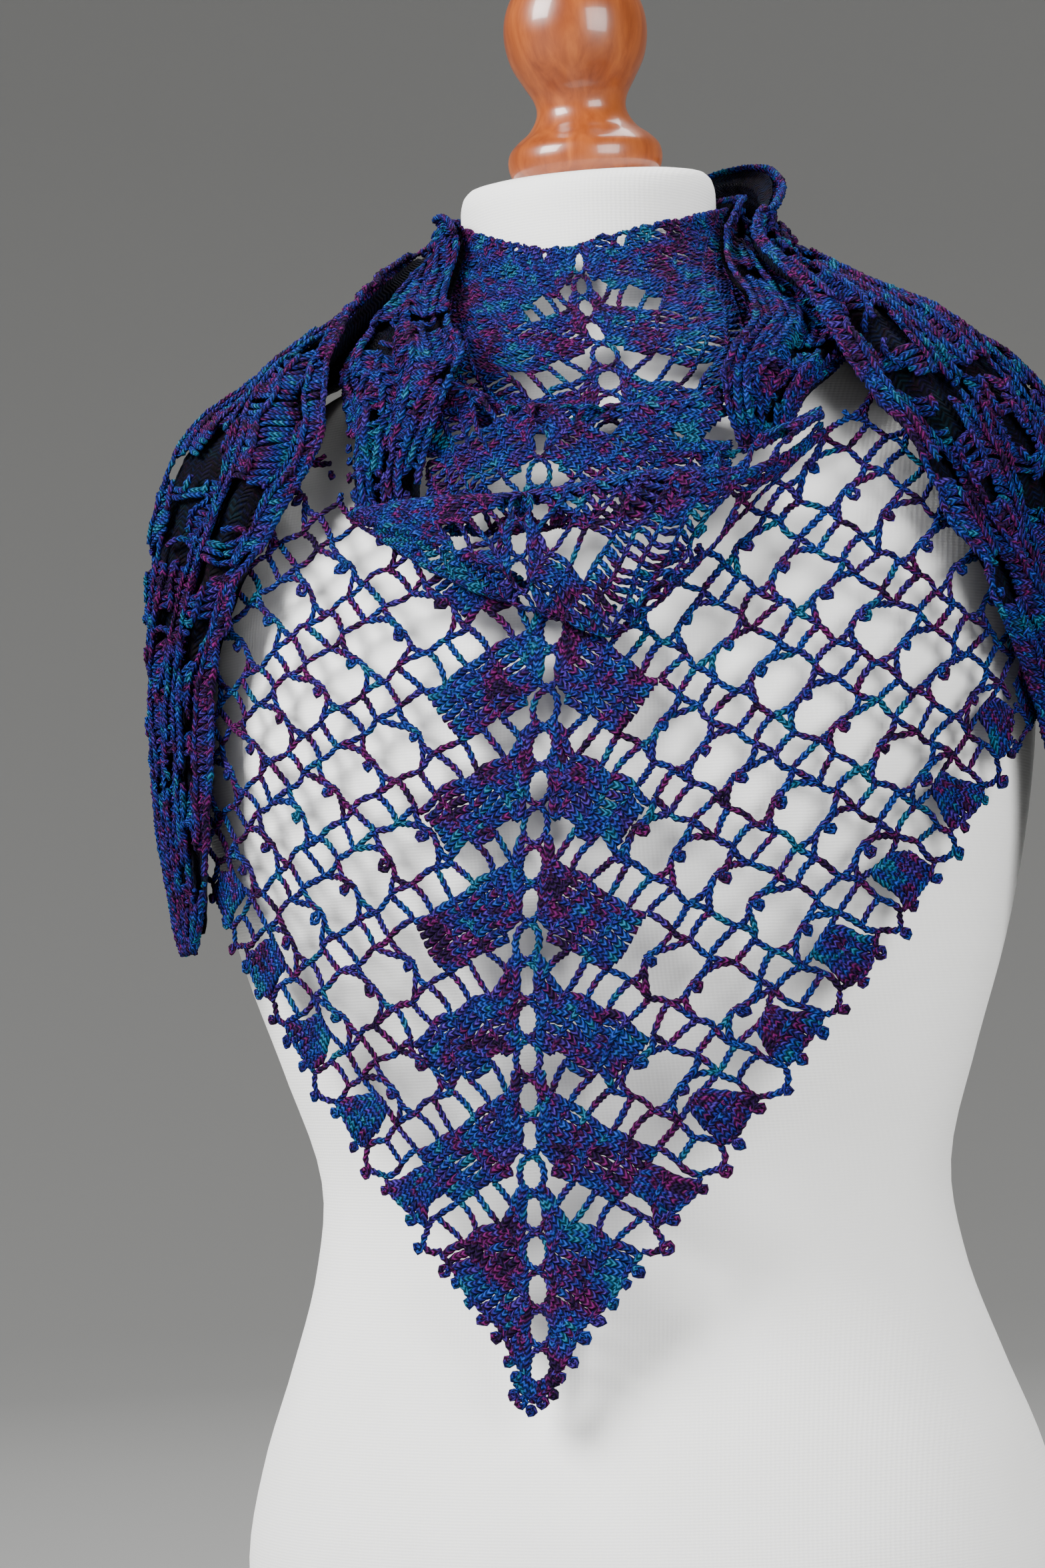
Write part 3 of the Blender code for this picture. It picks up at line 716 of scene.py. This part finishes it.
def row_curve(angle):
    """How far across and up a row has come, at each mm along it from the spine."""
    steps = np.arange(0, ROW_REACH)
    turned = angle + EDGE_OPEN - SPINE_TURN * np.exp(-steps / TURN_REACH)
    return steps, np.cumsum(np.sin(turned)), np.cumsum(np.cos(turned))


ROW_CURVES = {1: row_curve(EDGE_ANGLE_RIGHT), -1: row_curve(EDGE_ANGLE_LEFT)}


def chevron(side, r, w):
    """Metres across from the spine and up from the point, for a place on one half's chart."""
    steps, across, up = ROW_CURVES[side]
    rows = w / ROW
    along = r - APEX_SHIFT * rows
    height = SPINE_FOOT + SPINE_STEP * rows + np.interp(along, steps, up)
    return side * np.interp(along, steps, across) * MM, height * MM


# How far the spine lies towards +X at each height, in mm.
Drift = namedtuple("Drift", "height aside")
SPINE_DRIFT = table(
    Drift,
    (146, -2), (160, 2), (250, 3), (320, 7), (380, 16), (439, 23), (480, 25),
)
DRIFT_REACH = 75 * MM       # the cloth beside the spine moves half as far this far from it


def spine_drift(across, height):
    """Where a place of the panel lies across, once the spine has leant towards +X."""
    drift = np.interp(height / MM, *zip(*SPINE_DRIFT))
    return across + drift * MM / (1 + (across / DRIFT_REACH) ** 2)


def unit(vectors):
    return vectors / (np.linalg.norm(vectors, axis=-1, keepdims=True) + 1e-12)


def linked(name, mesh):
    """A new object in the scene, for a mesh, a lamp or a camera."""
    made = bpy.data.objects.new(name, mesh)
    bpy.context.scene.collection.objects.link(made)
    return made


PROBE = 0.4                 # mm along the chart, to find which way the cloth faces


def tube_mesh(name, strands, place, material, sides=6, girth=1.0):
    """One mesh of all the strands. place gives the points for chart places and a lift.

    Strands with as many rings as each other are made together.
    """
    turn = 2 * np.pi * np.arange(sides) / sides
    vertices, quads, caps, runs, corners, count = [], [], [], [], [], 0
    groups = {}
    for strand in strands:
        groups.setdefault(len(strand.points), []).append(strand)
    for rings, group in sorted(groups.items()):
        chart = np.array([strand.points for strand in group])
        lift = np.array([np.broadcast_to(strand.lift, rings) for strand in group]) * MM
        r, w = chart[..., 0], chart[..., 1]
        centre = place(r, w, lift)
        along_r, along_w = place(r + PROBE, w, lift) - centre, place(r, w + PROBE, lift) - centre
        normal = unit(np.cross(along_r, along_w))
        tangent = unit(np.gradient(centre, axis=1))
        beside = unit(np.cross(normal, tangent))
        upright = np.cross(tangent, beside)
        index = np.arange(rings)
        swell = np.array([1 + s.beads * (-1.0) ** index for s in group])
        swell[:, [0, -1]] *= END_TAPER
        radius = girth * np.array([s.radius for s in group])[:, None] * swell * MM
        ring = beside[:, :, None] * np.cos(turn)[:, None]
        ring = ring + upright[:, :, None] * np.sin(turn)[:, None] * FLATNESS
        points = centre[:, :, None] + ring * radius[:, :, None, None]
        first = count + (np.arange(len(group)) * rings * sides)[:, None, None]
        low = first + index[None, :-1, None] * sides
        here, after = np.arange(sides), (np.arange(sides) + 1) % sides
        quad = np.stack([low + here, low + after, low + sides + after, low + sides + here], axis=-1)
        quads.append(quad.reshape(-1, 4))
        last = first[:, 0] + (rings - 1) * sides
        caps.append(np.concatenate([first[:, 0] + here[::-1], last + here]))
        travelled = running_length(centre)
        used = np.array([s.start for s in group])[:, None] * MM
        used = used + travelled * np.array([s.use for s in group])[:, None]
        runs.append(np.repeat(used[:, :, None], sides, axis=2).ravel())
        u0 = np.broadcast_to(here / sides, quad.shape[:3])
        v0 = np.broadcast_to(travelled[:, :-1, None], quad.shape[:3])
        v1 = np.broadcast_to(travelled[:, 1:, None], quad.shape[:3])
        u1 = u0 + 1 / sides
        corner = np.stack([np.stack(p, -1) for p in ((u0, v0), (u1, v0), (u1, v1), (u0, v1))], -2)
        corners.append(corner.reshape(-1, 2))
        vertices.append(points.reshape(-1, 3))
        count += points.size // 3
    quads, caps = np.concatenate(quads), np.concatenate(caps)
    mesh = bpy.data.meshes.new(name)
    mesh.vertices.add(count)
    mesh.vertices.foreach_set("co", np.concatenate(vertices).ravel())
    loops = np.concatenate([quads.ravel(), caps.ravel()])
    mesh.loops.add(len(loops))
    mesh.loops.foreach_set("vertex_index", loops)
    sizes = np.concatenate([np.full(len(quads), 4), np.full(len(caps), sides)])
    mesh.polygons.add(len(sizes))
    mesh.polygons.foreach_set("loop_start", np.concatenate([[0], np.cumsum(sizes)[:-1]]))
    mesh.polygons.foreach_set("use_smooth", np.ones(len(sizes), bool))
    layer = mesh.uv_layers.new(name="strand")
    flat = np.zeros((len(loops), 2))
    flat[: quads.size] = np.concatenate(corners)
    layer.data.foreach_set("uv", flat.ravel())
    mesh.attributes.new("run", "FLOAT", "POINT").data.foreach_set("value", np.concatenate(runs))
    mesh.update(calc_edges=True)
    mesh.validate()
    mesh.materials.append(material)
    return linked(name, mesh)


# --- the stretches of the shawl ---------------------------------------------------------------

SEAM_HALF = PANEL_HALF + SEAM
INNER_LAYER = 3.2 * MM      # behind the outer layer where the cloth is gathered
DRAWN_IN = 0.85             # gathered cloth's length as a share of its flat length
SWAG_DRAWN_IN = 0.86        # and the same of the swags, both ways
SWAG_GIRTH = 0.82           # their strands' thickness, as a share of the panel's
WING_GIRTH = 0.94           # and the wings'
SLIM_SIDES = 5              # of the tubes of every stretch but the panel
CHART_HEIGHT = SPINE_STEP / ROW     # up the cloth for each unit of w
PANEL_ROWS = (0, 24)
PANEL_REACH = 470           # mm that its rows are worked out to
PANEL_LAP = 4 * MM          # its lace runs on this far under the swags
SPINE_ROWS = (0, 22)
SPINE_ASIDE = 20 * MM       # where the spine meets the panel's top edge
WING_ROWS = (0, 14)
SWAG_REACH = 260            # mm that a swag's rows run on past the last row's start
WING_REACH = 130            # and a wing's past its end
FRONT_SEED = 3              # seeds of each kind of stretch; a side's seed is one more or one less
SPINE_SEED = 9
SWAG_SEED = 11
SWAG_SPINE_SEED = 13
BORDER_SEED = 15
WING_SEED = 17


def in_front_panel(across, height):
    return (height < panel_top(across) + PANEL_LAP) & (np.abs(across) < SEAM_HALF)


def panel_place(side):
    def chart(r, w):
        across, height = chevron(side, r, w)
        height = height + POINT_HEIGHT
        return spine_drift(across, height), height

    def place(r, w, lift):
        return panel_point(*chart(*loosen(r, w)), lift)

    return place, lambda r, w: in_front_panel(*chart(r, w))


def spine_place(r, w, lift):
    height = POINT_HEIGHT + w * MM
    return panel_point(spine_drift(r * MM, height), height, lift)


def make_front(side, material):
    place, shows = panel_place(side)
    lace = Lace(shows, FRONT_SEED + side)
    work_half(lace, PANEL_ROWS, PANEL_REACH)
    name = "lace_front_right" if side > 0 else "lace_front_left"
    return tube_mesh(name, lace.strands, place, material)


def make_spine(material):
    def shows(r, w):
        return POINT_HEIGHT + w * MM < panel_top(SPINE_ASIDE) + PANEL_LAP

    lace = Lace(shows, SPINE_SEED)
    work_spine(lace, SPINE_ROWS)
    return tube_mesh("lace_front_spine", lace.strands, spine_place, material)


def swag_is_open(column, row):
    """In the solid middle of the shawl a ladder closes up some rows out from the spine."""
    return 3 * column + 1 <= row


# Where the spine crosses a swag, as a share of its length; the chart's row at its upper edge; and
# solid, where a block of a column is solid from row 3 * column - solid up.
Swag = namedtuple("Swag", "name spine_at top_row solid")
SWAGS = table(
    Swag,
    ("cowl_upper", 0.5, 34.7, 8), ("cowl_middle", 0.42, 27.0, 3), ("cowl_lower", 0.38, 25.3, 3),
)


def make_cowl(strip, swag, material):
    """A swag: the chart's upper rows on both sides of the spine."""
    cloth = Cloth(strip)
    top_row = swag.top_row
    centre = cloth.length * swag.spine_at
    extent = cloth.width(centre)
    rise = max(centre, cloth.length - centre) / math.tan(EDGE_ANGLE_LEFT)
    lowest = int(top_row - (extent + rise) / (SPINE_STEP * SWAG_DRAWN_IN * MM)) - 2
    rows = (lowest, int(top_row) + 2)

    def drawn_in(across, height):
        down = (top_row * SPINE_STEP * MM - height) * SWAG_DRAWN_IN
        return centre + across * SWAG_DRAWN_IN, down

    def surface(across, height, lift):
        along, down = drawn_in(across, height)
        return cloth.point(along, down / extent, lift)

    def shown(across, height):
        along, down = drawn_in(across, height)
        return (0 <= down) & (down <= extent) & (0 <= along) & (along <= cloth.length)

    def is_solid(column, row):
        return row >= 3 * column - swag.solid

    def half(side):
        lace = Lace(lambda r, w: shown(*chevron(side, r, w)), SWAG_SEED + side)
        reach = rows[1] * APEX_SHIFT + SWAG_REACH
        work_half(lace, rows, reach, dense=is_solid, is_open=swag_is_open)
        return lace.strands, lambda r, w, lift: surface(*chevron(side, *loosen(r, w)), lift)

    parts = [half(-1), half(1)]
    lace = Lace(lambda r, w: shown(r * MM, w * MM), SWAG_SPINE_SEED)
    work_spine(lace, rows)
    parts.append((lace.strands, lambda r, w, lift: surface(r * MM, w * MM, lift)))
    border = Lace(lambda r, w: (0 <= r) & (r * MM <= cloth.length), BORDER_SEED)
    # A curled swag's border runs just inside its rim, and the neck band's along its top.
    edge = extent / MM - 1.5 if strip.curl else 0.3
    for at in np.arange(0, cloth.length / MM, BORDER_CHAIN):
        bend = at + BORDER_CHAIN / 2, edge + BORDER_BOW
        border.curve((at, edge), bend, (at + BORDER_CHAIN, edge), CHAIN)
    parts.append((border.strands, lambda r, w, lift: cloth.point(r * MM, w * MM / extent, lift)))
    meshes = [tube_mesh("part", *part, material, SLIM_SIDES, SWAG_GIRTH) for part in parts]
    return joined(meshes, f"lace_{strip.name}")


def joined(objects, name):
    with bpy.context.temp_override(
        active_object=objects[0], selected_editable_objects=objects, selected_objects=objects
    ):
        bpy.ops.object.join()
    objects[0].name = name
    return objects[0]


def make_wing(strip, side, material):
    """A wing: the chart's outer end, from the panel's side edge to the nape."""

    def edge(share, lift):
        """The panel's side edge, which the wing's start is bent to meet."""
        across = np.full(share.shape, side * SEAM_HALF)
        top, bottom = panel_top(across), panel_bottom(across)
        return panel_point(across, top + (bottom - top) * share, lift)

    cloth = Cloth(strip, edge)
    angle = EDGE_ANGLE_RIGHT if side > 0 else EDGE_ANGLE_LEFT
    start = PANEL_HALF / MM / math.sin(angle)

    def chart(r, w):
        along = (r - APEX_SHIFT / ROW * w - start) * MM * math.sin(angle)
        return along, 1 - w * CHART_HEIGHT * MM / cloth.width(along)

    def shows(r, w):
        along, share = chart(r, w)
        return (0 < along) & (along < cloth.length) & (share > 0)

    def surface(r, w, lift):
        return cloth.point(*chart(*loosen(r, w)), lift)

    lace = Lace(shows, WING_SEED + side)
    reach = start + cloth.length / MM / math.sin(angle) + WING_REACH
    work_half(lace, WING_ROWS, reach, from_spine=False)
    return tube_mesh(f"lace_{strip.name}", lace.strands, surface, material, SLIM_SIDES, WING_GIRTH)


# A gathered stretch: its rows, how open it is and the seed of its holes and loops.
Gather = namedtuple("Gather", "name rows openness seed")
GATHERS = table(
    Gather,
    ("neck_wrap_left", 9, 0.7, 31), ("neck_wrap_right", 9, 0.6, 32), ("tail_left", 19, 0.8, 33),
    ("tail_right", 19, 0.7, 34),
)


def make_gathered(strip, gather, material):
    """A stretch whose rows run its whole length, drawn together across, over an inner layer."""
    cloth = Cloth(strip)
    rows, seed = gather.rows, gather.seed

    def chart(r, w):
        return r * DRAWN_IN * MM, 1 - w / (rows * ROW)

    def shows(r, w):
        along, share = chart(r, w)
        return (0 <= along) & (along <= cloth.length) & (share >= -0.001)

    def outer(r, w, lift):
        r, w = loosen(r, w)
        wander = 2.6 * np.sin(0.030 * r + 0.09 * w + seed) + 1.4 * np.sin(0.071 * r - 0.21 * w)
        return cloth.point(*chart(r, w + wander), lift)

    lace = Lace(shows, seed)
    work_gathered(lace, rows, cloth.length / DRAWN_IN / MM, gather.openness)
    outside = tube_mesh(f"lace_{strip.name}", lace.strands, outer, material, SLIM_SIDES)
    return [outside, inner_sheet(f"inner_{strip.name}", cloth, material)]


INNER_MARK = 2.0            # a strand coordinate above this marks the inner layers, whose colour is darkened as painted shade
INNER_PAINTED_SHADE = 0.95          # how much of its colour that painted shade takes away
INNER_ROWS = 180
INNER_COLUMNS = 30
WEAVE_DEPTH = 0.5 * MM
WEAVE_LENGTH = 0.6 * MM     # it repeats in 2 pi times this


def inner_sheet(name, cloth, material):
    """The layer of cloth under a gathered stretch, in the shadow of the outer one. Its colour is
    darkened to nearly black as painted shade.
    """
    along = np.linspace(0.004, 0.985, INNER_ROWS) * cloth.length
    along, share = np.meshgrid(along, np.linspace(0.03, 0.97, INNER_COLUMNS), indexing="ij")
    weave = WEAVE_DEPTH * np.sin(along / WEAVE_LENGTH) * np.sin(share * 90)
    points = cloth.point(along, share, weave - INNER_LAYER)
    quad = np.arange(INNER_ROWS * INNER_COLUMNS).reshape(INNER_ROWS, INNER_COLUMNS)
    faces = np.stack([quad[:-1, :-1], quad[1:, :-1], quad[1:, 1:], quad[:-1, 1:]], axis=-1)
    faces = faces.reshape(-1, 4)
    mesh = bpy.data.meshes.new(name)
    mesh.from_pydata(points.reshape(-1, 3).tolist(), [], faces.tolist())
    mesh.shade_smooth()
    # Strand coordinates from INNER_MARK up make the yarn material darken this sheet to nearly black,
    # as painted shade.
    places = np.stack([INNER_MARK + share * 12, along], axis=-1).reshape(-1, 2)
    mesh.uv_layers.new(name="strand").data.foreach_set("uv", places[faces.ravel()].ravel())
    run = mesh.attributes.new("run", "FLOAT", "POINT").data
    run.foreach_set("value", (along * 6 + share * 0.9).ravel())
    mesh.materials.append(material)
    return linked(name, mesh)


# --- materials --------------------------------------------------------------------------------


def set_inputs(node, values):
    """Sets uniform values on a node's inputs, by their names."""
    for name, value in values.items():
        node.inputs[name].default_value = value
    return node


def new_material(name, roughness):
    material = bpy.data.materials.new(name)
    material.use_nodes = True
    shader = material.node_tree.nodes["Principled BSDF"]
    set_inputs(shader, {"Roughness": roughness})
    return material, material.node_tree.nodes, material.node_tree.links, shader


def add_node(nodes, kind, values):
    return set_inputs(nodes.new(f"ShaderNode{kind}"), values)


def add_noise(nodes, links, place, values):
    """Noise over places, as a value."""
    noise = add_node(nodes, "TexNoise", values)
    links.new(place, noise.inputs["Vector"])
    return noise.outputs["Fac"]


def add_range(nodes, links, value, values):
    """A value moved from one range to another; each range runs from 0 to 1 if not given."""
    node = add_node(nodes, "MapRange", values)
    links.new(value, node.inputs["Value"])
    return node.outputs[0]


def add_bump(nodes, links, shader, height, strength, distance):
    bump = add_node(nodes, "Bump", {"Strength": strength, "Distance": distance})
    links.new(height, bump.inputs["Height"])
    links.new(bump.outputs[0], shader.inputs["Normal"])


def add_ramp(nodes, links, value, stops):
    """A colour for each value, between stops of a place and a colour."""
    node = nodes.new("ShaderNodeValToRGB")
    elements = node.color_ramp.elements
    while len(elements) < len(stops):
        elements.new(0.5)
    for element, (place, colour) in zip(elements, stops):
        element.position = place
        element.color = (*colour, 1)
    links.new(value, node.inputs["Fac"])
    return node.outputs["Color"]


def math_node(nodes, links, operation, first, second):
    node = nodes.new("ShaderNodeMath")
    node.operation = operation
    for socket, value in zip(node.inputs, (first, second)):
        if isinstance(value, (int, float)):
            socket.default_value = value
        else:
            links.new(value, socket)
    return node.outputs[0]


# The dye's colours in the order they follow each other along the yarn.
DYE = [
    (0.12, (0.008, 0.090, 0.165)),
    (0.22, (0.004, 0.023, 0.090)),
    (0.31, (0.010, 0.044, 0.290)),
    (0.39, (0.004, 0.007, 0.060)),
    (0.46, (0.012, 0.014, 0.180)),
    (0.52, (0.003, 0.002, 0.020)),
    (0.59, (0.042, 0.016, 0.215)),
    (0.66, (0.010, 0.003, 0.034)),
    (0.74, (0.100, 0.004, 0.075)),
    (0.84, (0.010, 0.002, 0.026)),
]
PLY_LENGTH = 0.0024         # metres from one ply to the next along a strand


def yarn_material():
    material, nodes, links, shader = new_material("dyed_yarn", 0.8)

    def calculate(operation, first, second):
        return math_node(nodes, links, operation, first, second)

    run = nodes.new("ShaderNodeAttribute")
    run.attribute_name = "run"
    uv = nodes.new("ShaderNodeUVMap")
    uv.uv_map = "strand"
    strand = nodes.new("ShaderNodeSeparateXYZ")
    links.new(uv.outputs["UV"], strand.inputs[0])
    place = nodes.new("ShaderNodeTexCoord").outputs["Object"]
    # Two legs of a chain lean opposite ways, so the plies meet in a row of arrowheads.
    around = calculate("PINGPONG", strand.outputs["X"], 0.25)
    # Colours pool in patches a few stitches wide, with flecks of the dye's other colours in them.
    dye = add_node(nodes, "TexNoise", {"Detail": 1.2, "Roughness": 0.55, "Scale": 30.0})
    dye.noise_dimensions = "1D"
    spread = calculate("MULTIPLY", around, 0.06)
    links.new(calculate("ADD", run.outputs["Fac"], spread), dye.inputs["W"])
    pool = add_noise(nodes, links, place, {"Scale": 72.0, "Detail": 1.0})
    mixed = calculate("ADD", dye.outputs["Fac"], calculate("MULTIPLY", pool, 1.25))
    mixed = add_range(nodes, links, mixed, {"From Min": 0.73, "From Max": 1.52})
    colour = add_ramp(nodes, links, mixed, DYE)
    # Painted shade in the grooves between the plies, and a fine speckle of tone on it.
    lean = calculate("MULTIPLY", around, 26.0)
    along = calculate("MULTIPLY", strand.outputs["Y"], 2 * math.pi / PLY_LENGTH)
    ply = calculate("SINE", calculate("ADD", lean, along), 0.0)
    painted_shade_and_speckle = add_range(nodes, links, ply, {"From Min": -1.0, "To Min": 0.10, "To Max": 1.34})
    fleck = add_noise(nodes, links, place, {"Scale": 900.0, "Detail": 3.0})
    speckle = {"From Min": 0.3, "From Max": 0.7, "To Min": 0.7, "To Max": 1.35}
    painted_shade_and_speckle = calculate("MULTIPLY", painted_shade_and_speckle, add_range(nodes, links, fleck, speckle))
    # Painted shade: the inner layers lie in shadow, so their colour is darkened to nearly black.
    inside = calculate("GREATER_THAN", strand.outputs["X"], INNER_MARK - 0.5)
    painted_shade_factor = calculate("SUBTRACT", 1.0, calculate("MULTIPLY", inside, INNER_PAINTED_SHADE))
    # The dye's colour, darkened by the painted shade of the plies and of the inner layers, with its
    # speckle.
    tint = nodes.new("ShaderNodeVectorMath")
    tint.operation = "SCALE"
    links.new(colour, tint.inputs[0])
    links.new(calculate("MULTIPLY", painted_shade_and_speckle, painted_shade_factor), tint.inputs["Scale"])
    links.new(tint.outputs[0], shader.inputs["Base Color"])
    height = calculate("MULTIPLY_ADD", ply, 0.5)
    add_bump(nodes, links, shader, calculate("ADD", height, fleck), 0.9, 0.0007)
    set_inputs(shader, {
        "Sheen Weight": 0.02, "Sheen Roughness": 0.4, "Sheen Tint": (0.25, 0.32, 0.8, 1),
        "Specular IOR Level": 0.07,
    })
    return material


def jersey_material():
    material, nodes, links, shader = new_material("white_jersey", 0.88)
    place = nodes.new("ShaderNodeTexCoord").outputs["Object"]

    def knit(direction, values):
        """The ribs or the courses of the knitted jersey."""
        wave = add_node(nodes, "TexWave", values)
        wave.bands_direction = direction
        links.new(place, wave.inputs["Vector"])
        return wave.outputs["Fac"]

    ribs = knit("X", {"Scale": 190.0, "Distortion": 0.6, "Detail": 1.0})
    courses = knit("Z", {"Scale": 260.0, "Distortion": 1.0})
    cloudy = add_noise(nodes, links, place, {"Scale": 14.0})
    tone = add_ramp(nodes, links, cloudy, [(0.3, (0.85, 0.85, 0.83)), (0.7, (0.91, 0.91, 0.895))])
    links.new(tone, shader.inputs["Base Color"])
    add_bump(nodes, links, shader, math_node(nodes, links, "ADD", ribs, courses), 0.25, 0.0002)
    set_inputs(shader, {"Sheen Weight": 0.15, "Specular IOR Level": 0.2})
    return material


# The wood's colours across its grain.
WOOD = [(0.3, (0.17, 0.032, 0.005)), (0.5, (0.25, 0.055, 0.009)), (0.7, (0.34, 0.084, 0.014))]


def wood_material():
    material, nodes, links, shader = new_material("varnished_wood", 0.35)
    stretch = add_node(nodes, "Mapping", {"Scale": (1.0, 1.0, 0.16), "Rotation": (0.10, 0.06, 0.0)})
    links.new(nodes.new("ShaderNodeTexCoord").outputs["Object"], stretch.inputs["Vector"])
    place = stretch.outputs[0]
    grain = {"Scale": 120.0, "Detail": 4.0, "Roughness": 0.6, "Distortion": 0.6}
    tone = add_ramp(nodes, links, add_noise(nodes, links, place, grain), WOOD)
    links.new(tone, shader.inputs["Base Color"])
    pores = add_noise(nodes, links, place, {"Scale": 700.0})
    add_bump(nodes, links, shader, pores, 0.08, 0.0002)
    set_inputs(shader, {"Coat Weight": 0.5, "Coat Roughness": 0.10})
    return material


# --- the dress form and its knob --------------------------------------------------------------


def lathe_mesh(name, loops, material):
    """A closed smooth body through rings of points, flat at both ends."""
    levels, count = loops.shape[:2]
    here = np.arange(count)
    faces = []
    for level in range(levels - 1):
        low, high = level * count + here, (level + 1) * count + here
        faces += np.stack([low, np.roll(low, -1), np.roll(high, -1), high], axis=-1).tolist()
    faces += [here[::-1].tolist(), ((levels - 1) * count + here).tolist()]
    mesh = bpy.data.meshes.new(name)
    mesh.from_pydata(loops.reshape(-1, 3).tolist(), [], faces)
    mesh.shade_smooth()
    mesh.set_sharp_from_angle(angle=math.radians(50))
    mesh.materials.append(material)
    return linked(name, mesh)


FORM_STEPS = 108            # round the dress form
FORM_LEVELS = 109
KNOB_STEPS = 72             # and round its knob
KNOB_LEVELS = 73


def turned_loops(angles, heights, radii):
    """Rings of points round the z axis."""
    return np.stack([np.cos(angles) * radii, np.sin(angles) * radii, heights + angles * 0], axis=-1)


def make_form(material):
    places = np.linspace(0, len(FORM_RINGS) - 1, FORM_LEVELS)
    heights = catmull_rom([[ring.height] for ring in FORM_RINGS], places)[:, 0] * MM
    heights = np.maximum.accumulate(np.maximum(heights, 0))
    angles = np.linspace(0, 2 * np.pi, FORM_STEPS, endpoint=False)
    loops = ring_point(FORM_RINGS, angles[None, :], np.repeat(heights[:, None], FORM_STEPS, axis=1))
    loops[0, :, 2] = 0.0
    return lathe_mesh("jersey_form", loops, material)


def make_knob(material):
    profile = catmull_rom(KNOB_PROFILE, np.linspace(0, len(KNOB_PROFILE) - 1, KNOB_LEVELS)) * MM
    angles = np.linspace(0, 2 * np.pi, KNOB_STEPS, endpoint=False)
    loops = turned_loops(angles, profile[:, 0, None], profile[:, 1, None])
    lean = np.array(Matrix.Rotation(math.atan(CAP_SLOPE), 3, "X"))
    up = lean @ np.array([0, 0, KNOB_BOTTOM_GAP])
    foot = np.array([SHIFT_X, CAP_CENTRE_Y + SHIFT_Y, CAP_HEIGHT]) + up
    return lathe_mesh("turned_knob", loops @ lean.T + foot, material)


# --- the studio -------------------------------------------------------------------------------

CAMERA_TURN = math.radians(20)
CAMERA_DISTANCE = 1.65
CAMERA_HEIGHT = 0.285
AIM_HEIGHT = 0.3926
AIM_ASIDE = -0.040
CAMERA_ROLL = -0.04
HALF_VIEW = 0.328           # metres either side of the aim, at the object


def make_camera():
    aside = Vector((math.cos(CAMERA_TURN), math.sin(CAMERA_TURN), 0)) * AIM_ASIDE
    aim = Vector((SHIFT_X, SHIFT_Y, AIM_HEIGHT)) + aside
    rise = math.asin((CAMERA_HEIGHT - AIM_HEIGHT) / CAMERA_DISTANCE)
    flat = math.cos(rise)
    back = Vector((math.sin(CAMERA_TURN) * flat, -math.cos(CAMERA_TURN) * flat, math.sin(rise)))
    camera = linked("camera", bpy.data.cameras.new("camera"))
    turned = (-back).to_track_quat("-Z", "Y").to_matrix() @ Matrix.Rotation(CAMERA_ROLL, 3, "Z")
    camera.matrix_world = Matrix.Translation(aim + back * CAMERA_DISTANCE) @ turned.to_4x4()
    camera.data.sensor_fit = "VERTICAL"
    camera.data.angle = 2 * math.atan(HALF_VIEW / CAMERA_DISTANCE)
    bpy.context.scene.camera = camera


def make_light(name, place, aim, size, power):
    light = bpy.data.lights.new(name, "AREA")
    light.shape = "RECTANGLE"
    light.size, light.size_y = size
    light.energy = power
    lamp = linked(name, light)
    place = Vector(place)
    turned = (Vector(aim) - place).to_track_quat("-Z", "Y").to_matrix()
    lamp.matrix_world = Matrix.Translation(place) @ turned.to_4x4()


ROOM_REACH = 4.4            # metres out to the studio's round wall
ROOM_BEND = 2.6             # the radius of the sweep between its floor and its wall
ROOM_HEIGHT = 5.5


def make_studio():
    """A pale floor that sweeps up into a plain wall all round, a plain ceiling, and soft light."""
    turns = np.linspace(0, 2 * np.pi, 96, endpoint=False)
    curve = np.linspace(0, np.pi / 2, 13)
    swept = ROOM_REACH - ROOM_BEND + ROOM_BEND * np.sin(curve)
    radii = np.concatenate([[0.05], swept, [ROOM_REACH]])
    heights = np.concatenate([[0], ROOM_BEND * (1 - np.cos(curve)), [ROOM_HEIGHT]])
    loops = turned_loops(turns, heights[:, None], radii[:, None])
    material, _, _, shader = new_material("pale_floor", 0.9)
    set_inputs(shader, {"Base Color": (0.22, 0.22, 0.215, 1)})
    floor = lathe_mesh("floor", loops, material)
    make_light("key", (-1.5, -1.9, 1.9), (0, 0, 0.4), (1.3, 1.3), 225)
    make_light("fill", (2.2, -1.6, 1.0), (0, 0, 0.35), (1.6, 1.6), 104)
    make_light("top", (0.2, 0.6, 2.4), (0, 0, 0.4), (1.2, 1.2), 46)
    world = bpy.data.worlds.new("studio")
    world.use_nodes = True
    backdrop = {"Color": (0.75, 0.76, 0.78, 1), "Strength": 0.70}
    set_inputs(world.node_tree.nodes["Background"], backdrop)
    bpy.context.scene.world = world


# --- putting it together ----------------------------------------------------------------------


# The flat cut of what shows of each stretch: width, length and area, in metres.
Cut = namedtuple("Cut", "width length area held")


def main():
    make_camera()
    make_studio()
    yarn = yarn_material()
    form = make_form(jersey_material())
    knob = make_knob(wood_material())
    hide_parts("dress_form")
    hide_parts("neck_knob")
    strips = {strip.name: strip for strip in STRIPS}
    front_right, front_left, spine = make_front(1, yarn), make_front(-1, yarn), make_spine(yarn)
    pieces = {"front_panel": [front_right, front_left, spine]}
    for swag in SWAGS:
        pieces[swag.name] = [make_cowl(strips[swag.name], swag, yarn)]
    for name, side in ("shoulder_left", -1), ("shoulder_right", 1):
        pieces[name] = [make_wing(strips[name], side, yarn)]
    for gather in GATHERS:
        pieces[gather.name] = make_gathered(strips[gather.name], gather, yarn)
    for node, made in pieces.items():
        for piece in made:
            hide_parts(node)
            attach(piece, "root")
    for piece in (form, knob):
        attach(piece, "root")


main()
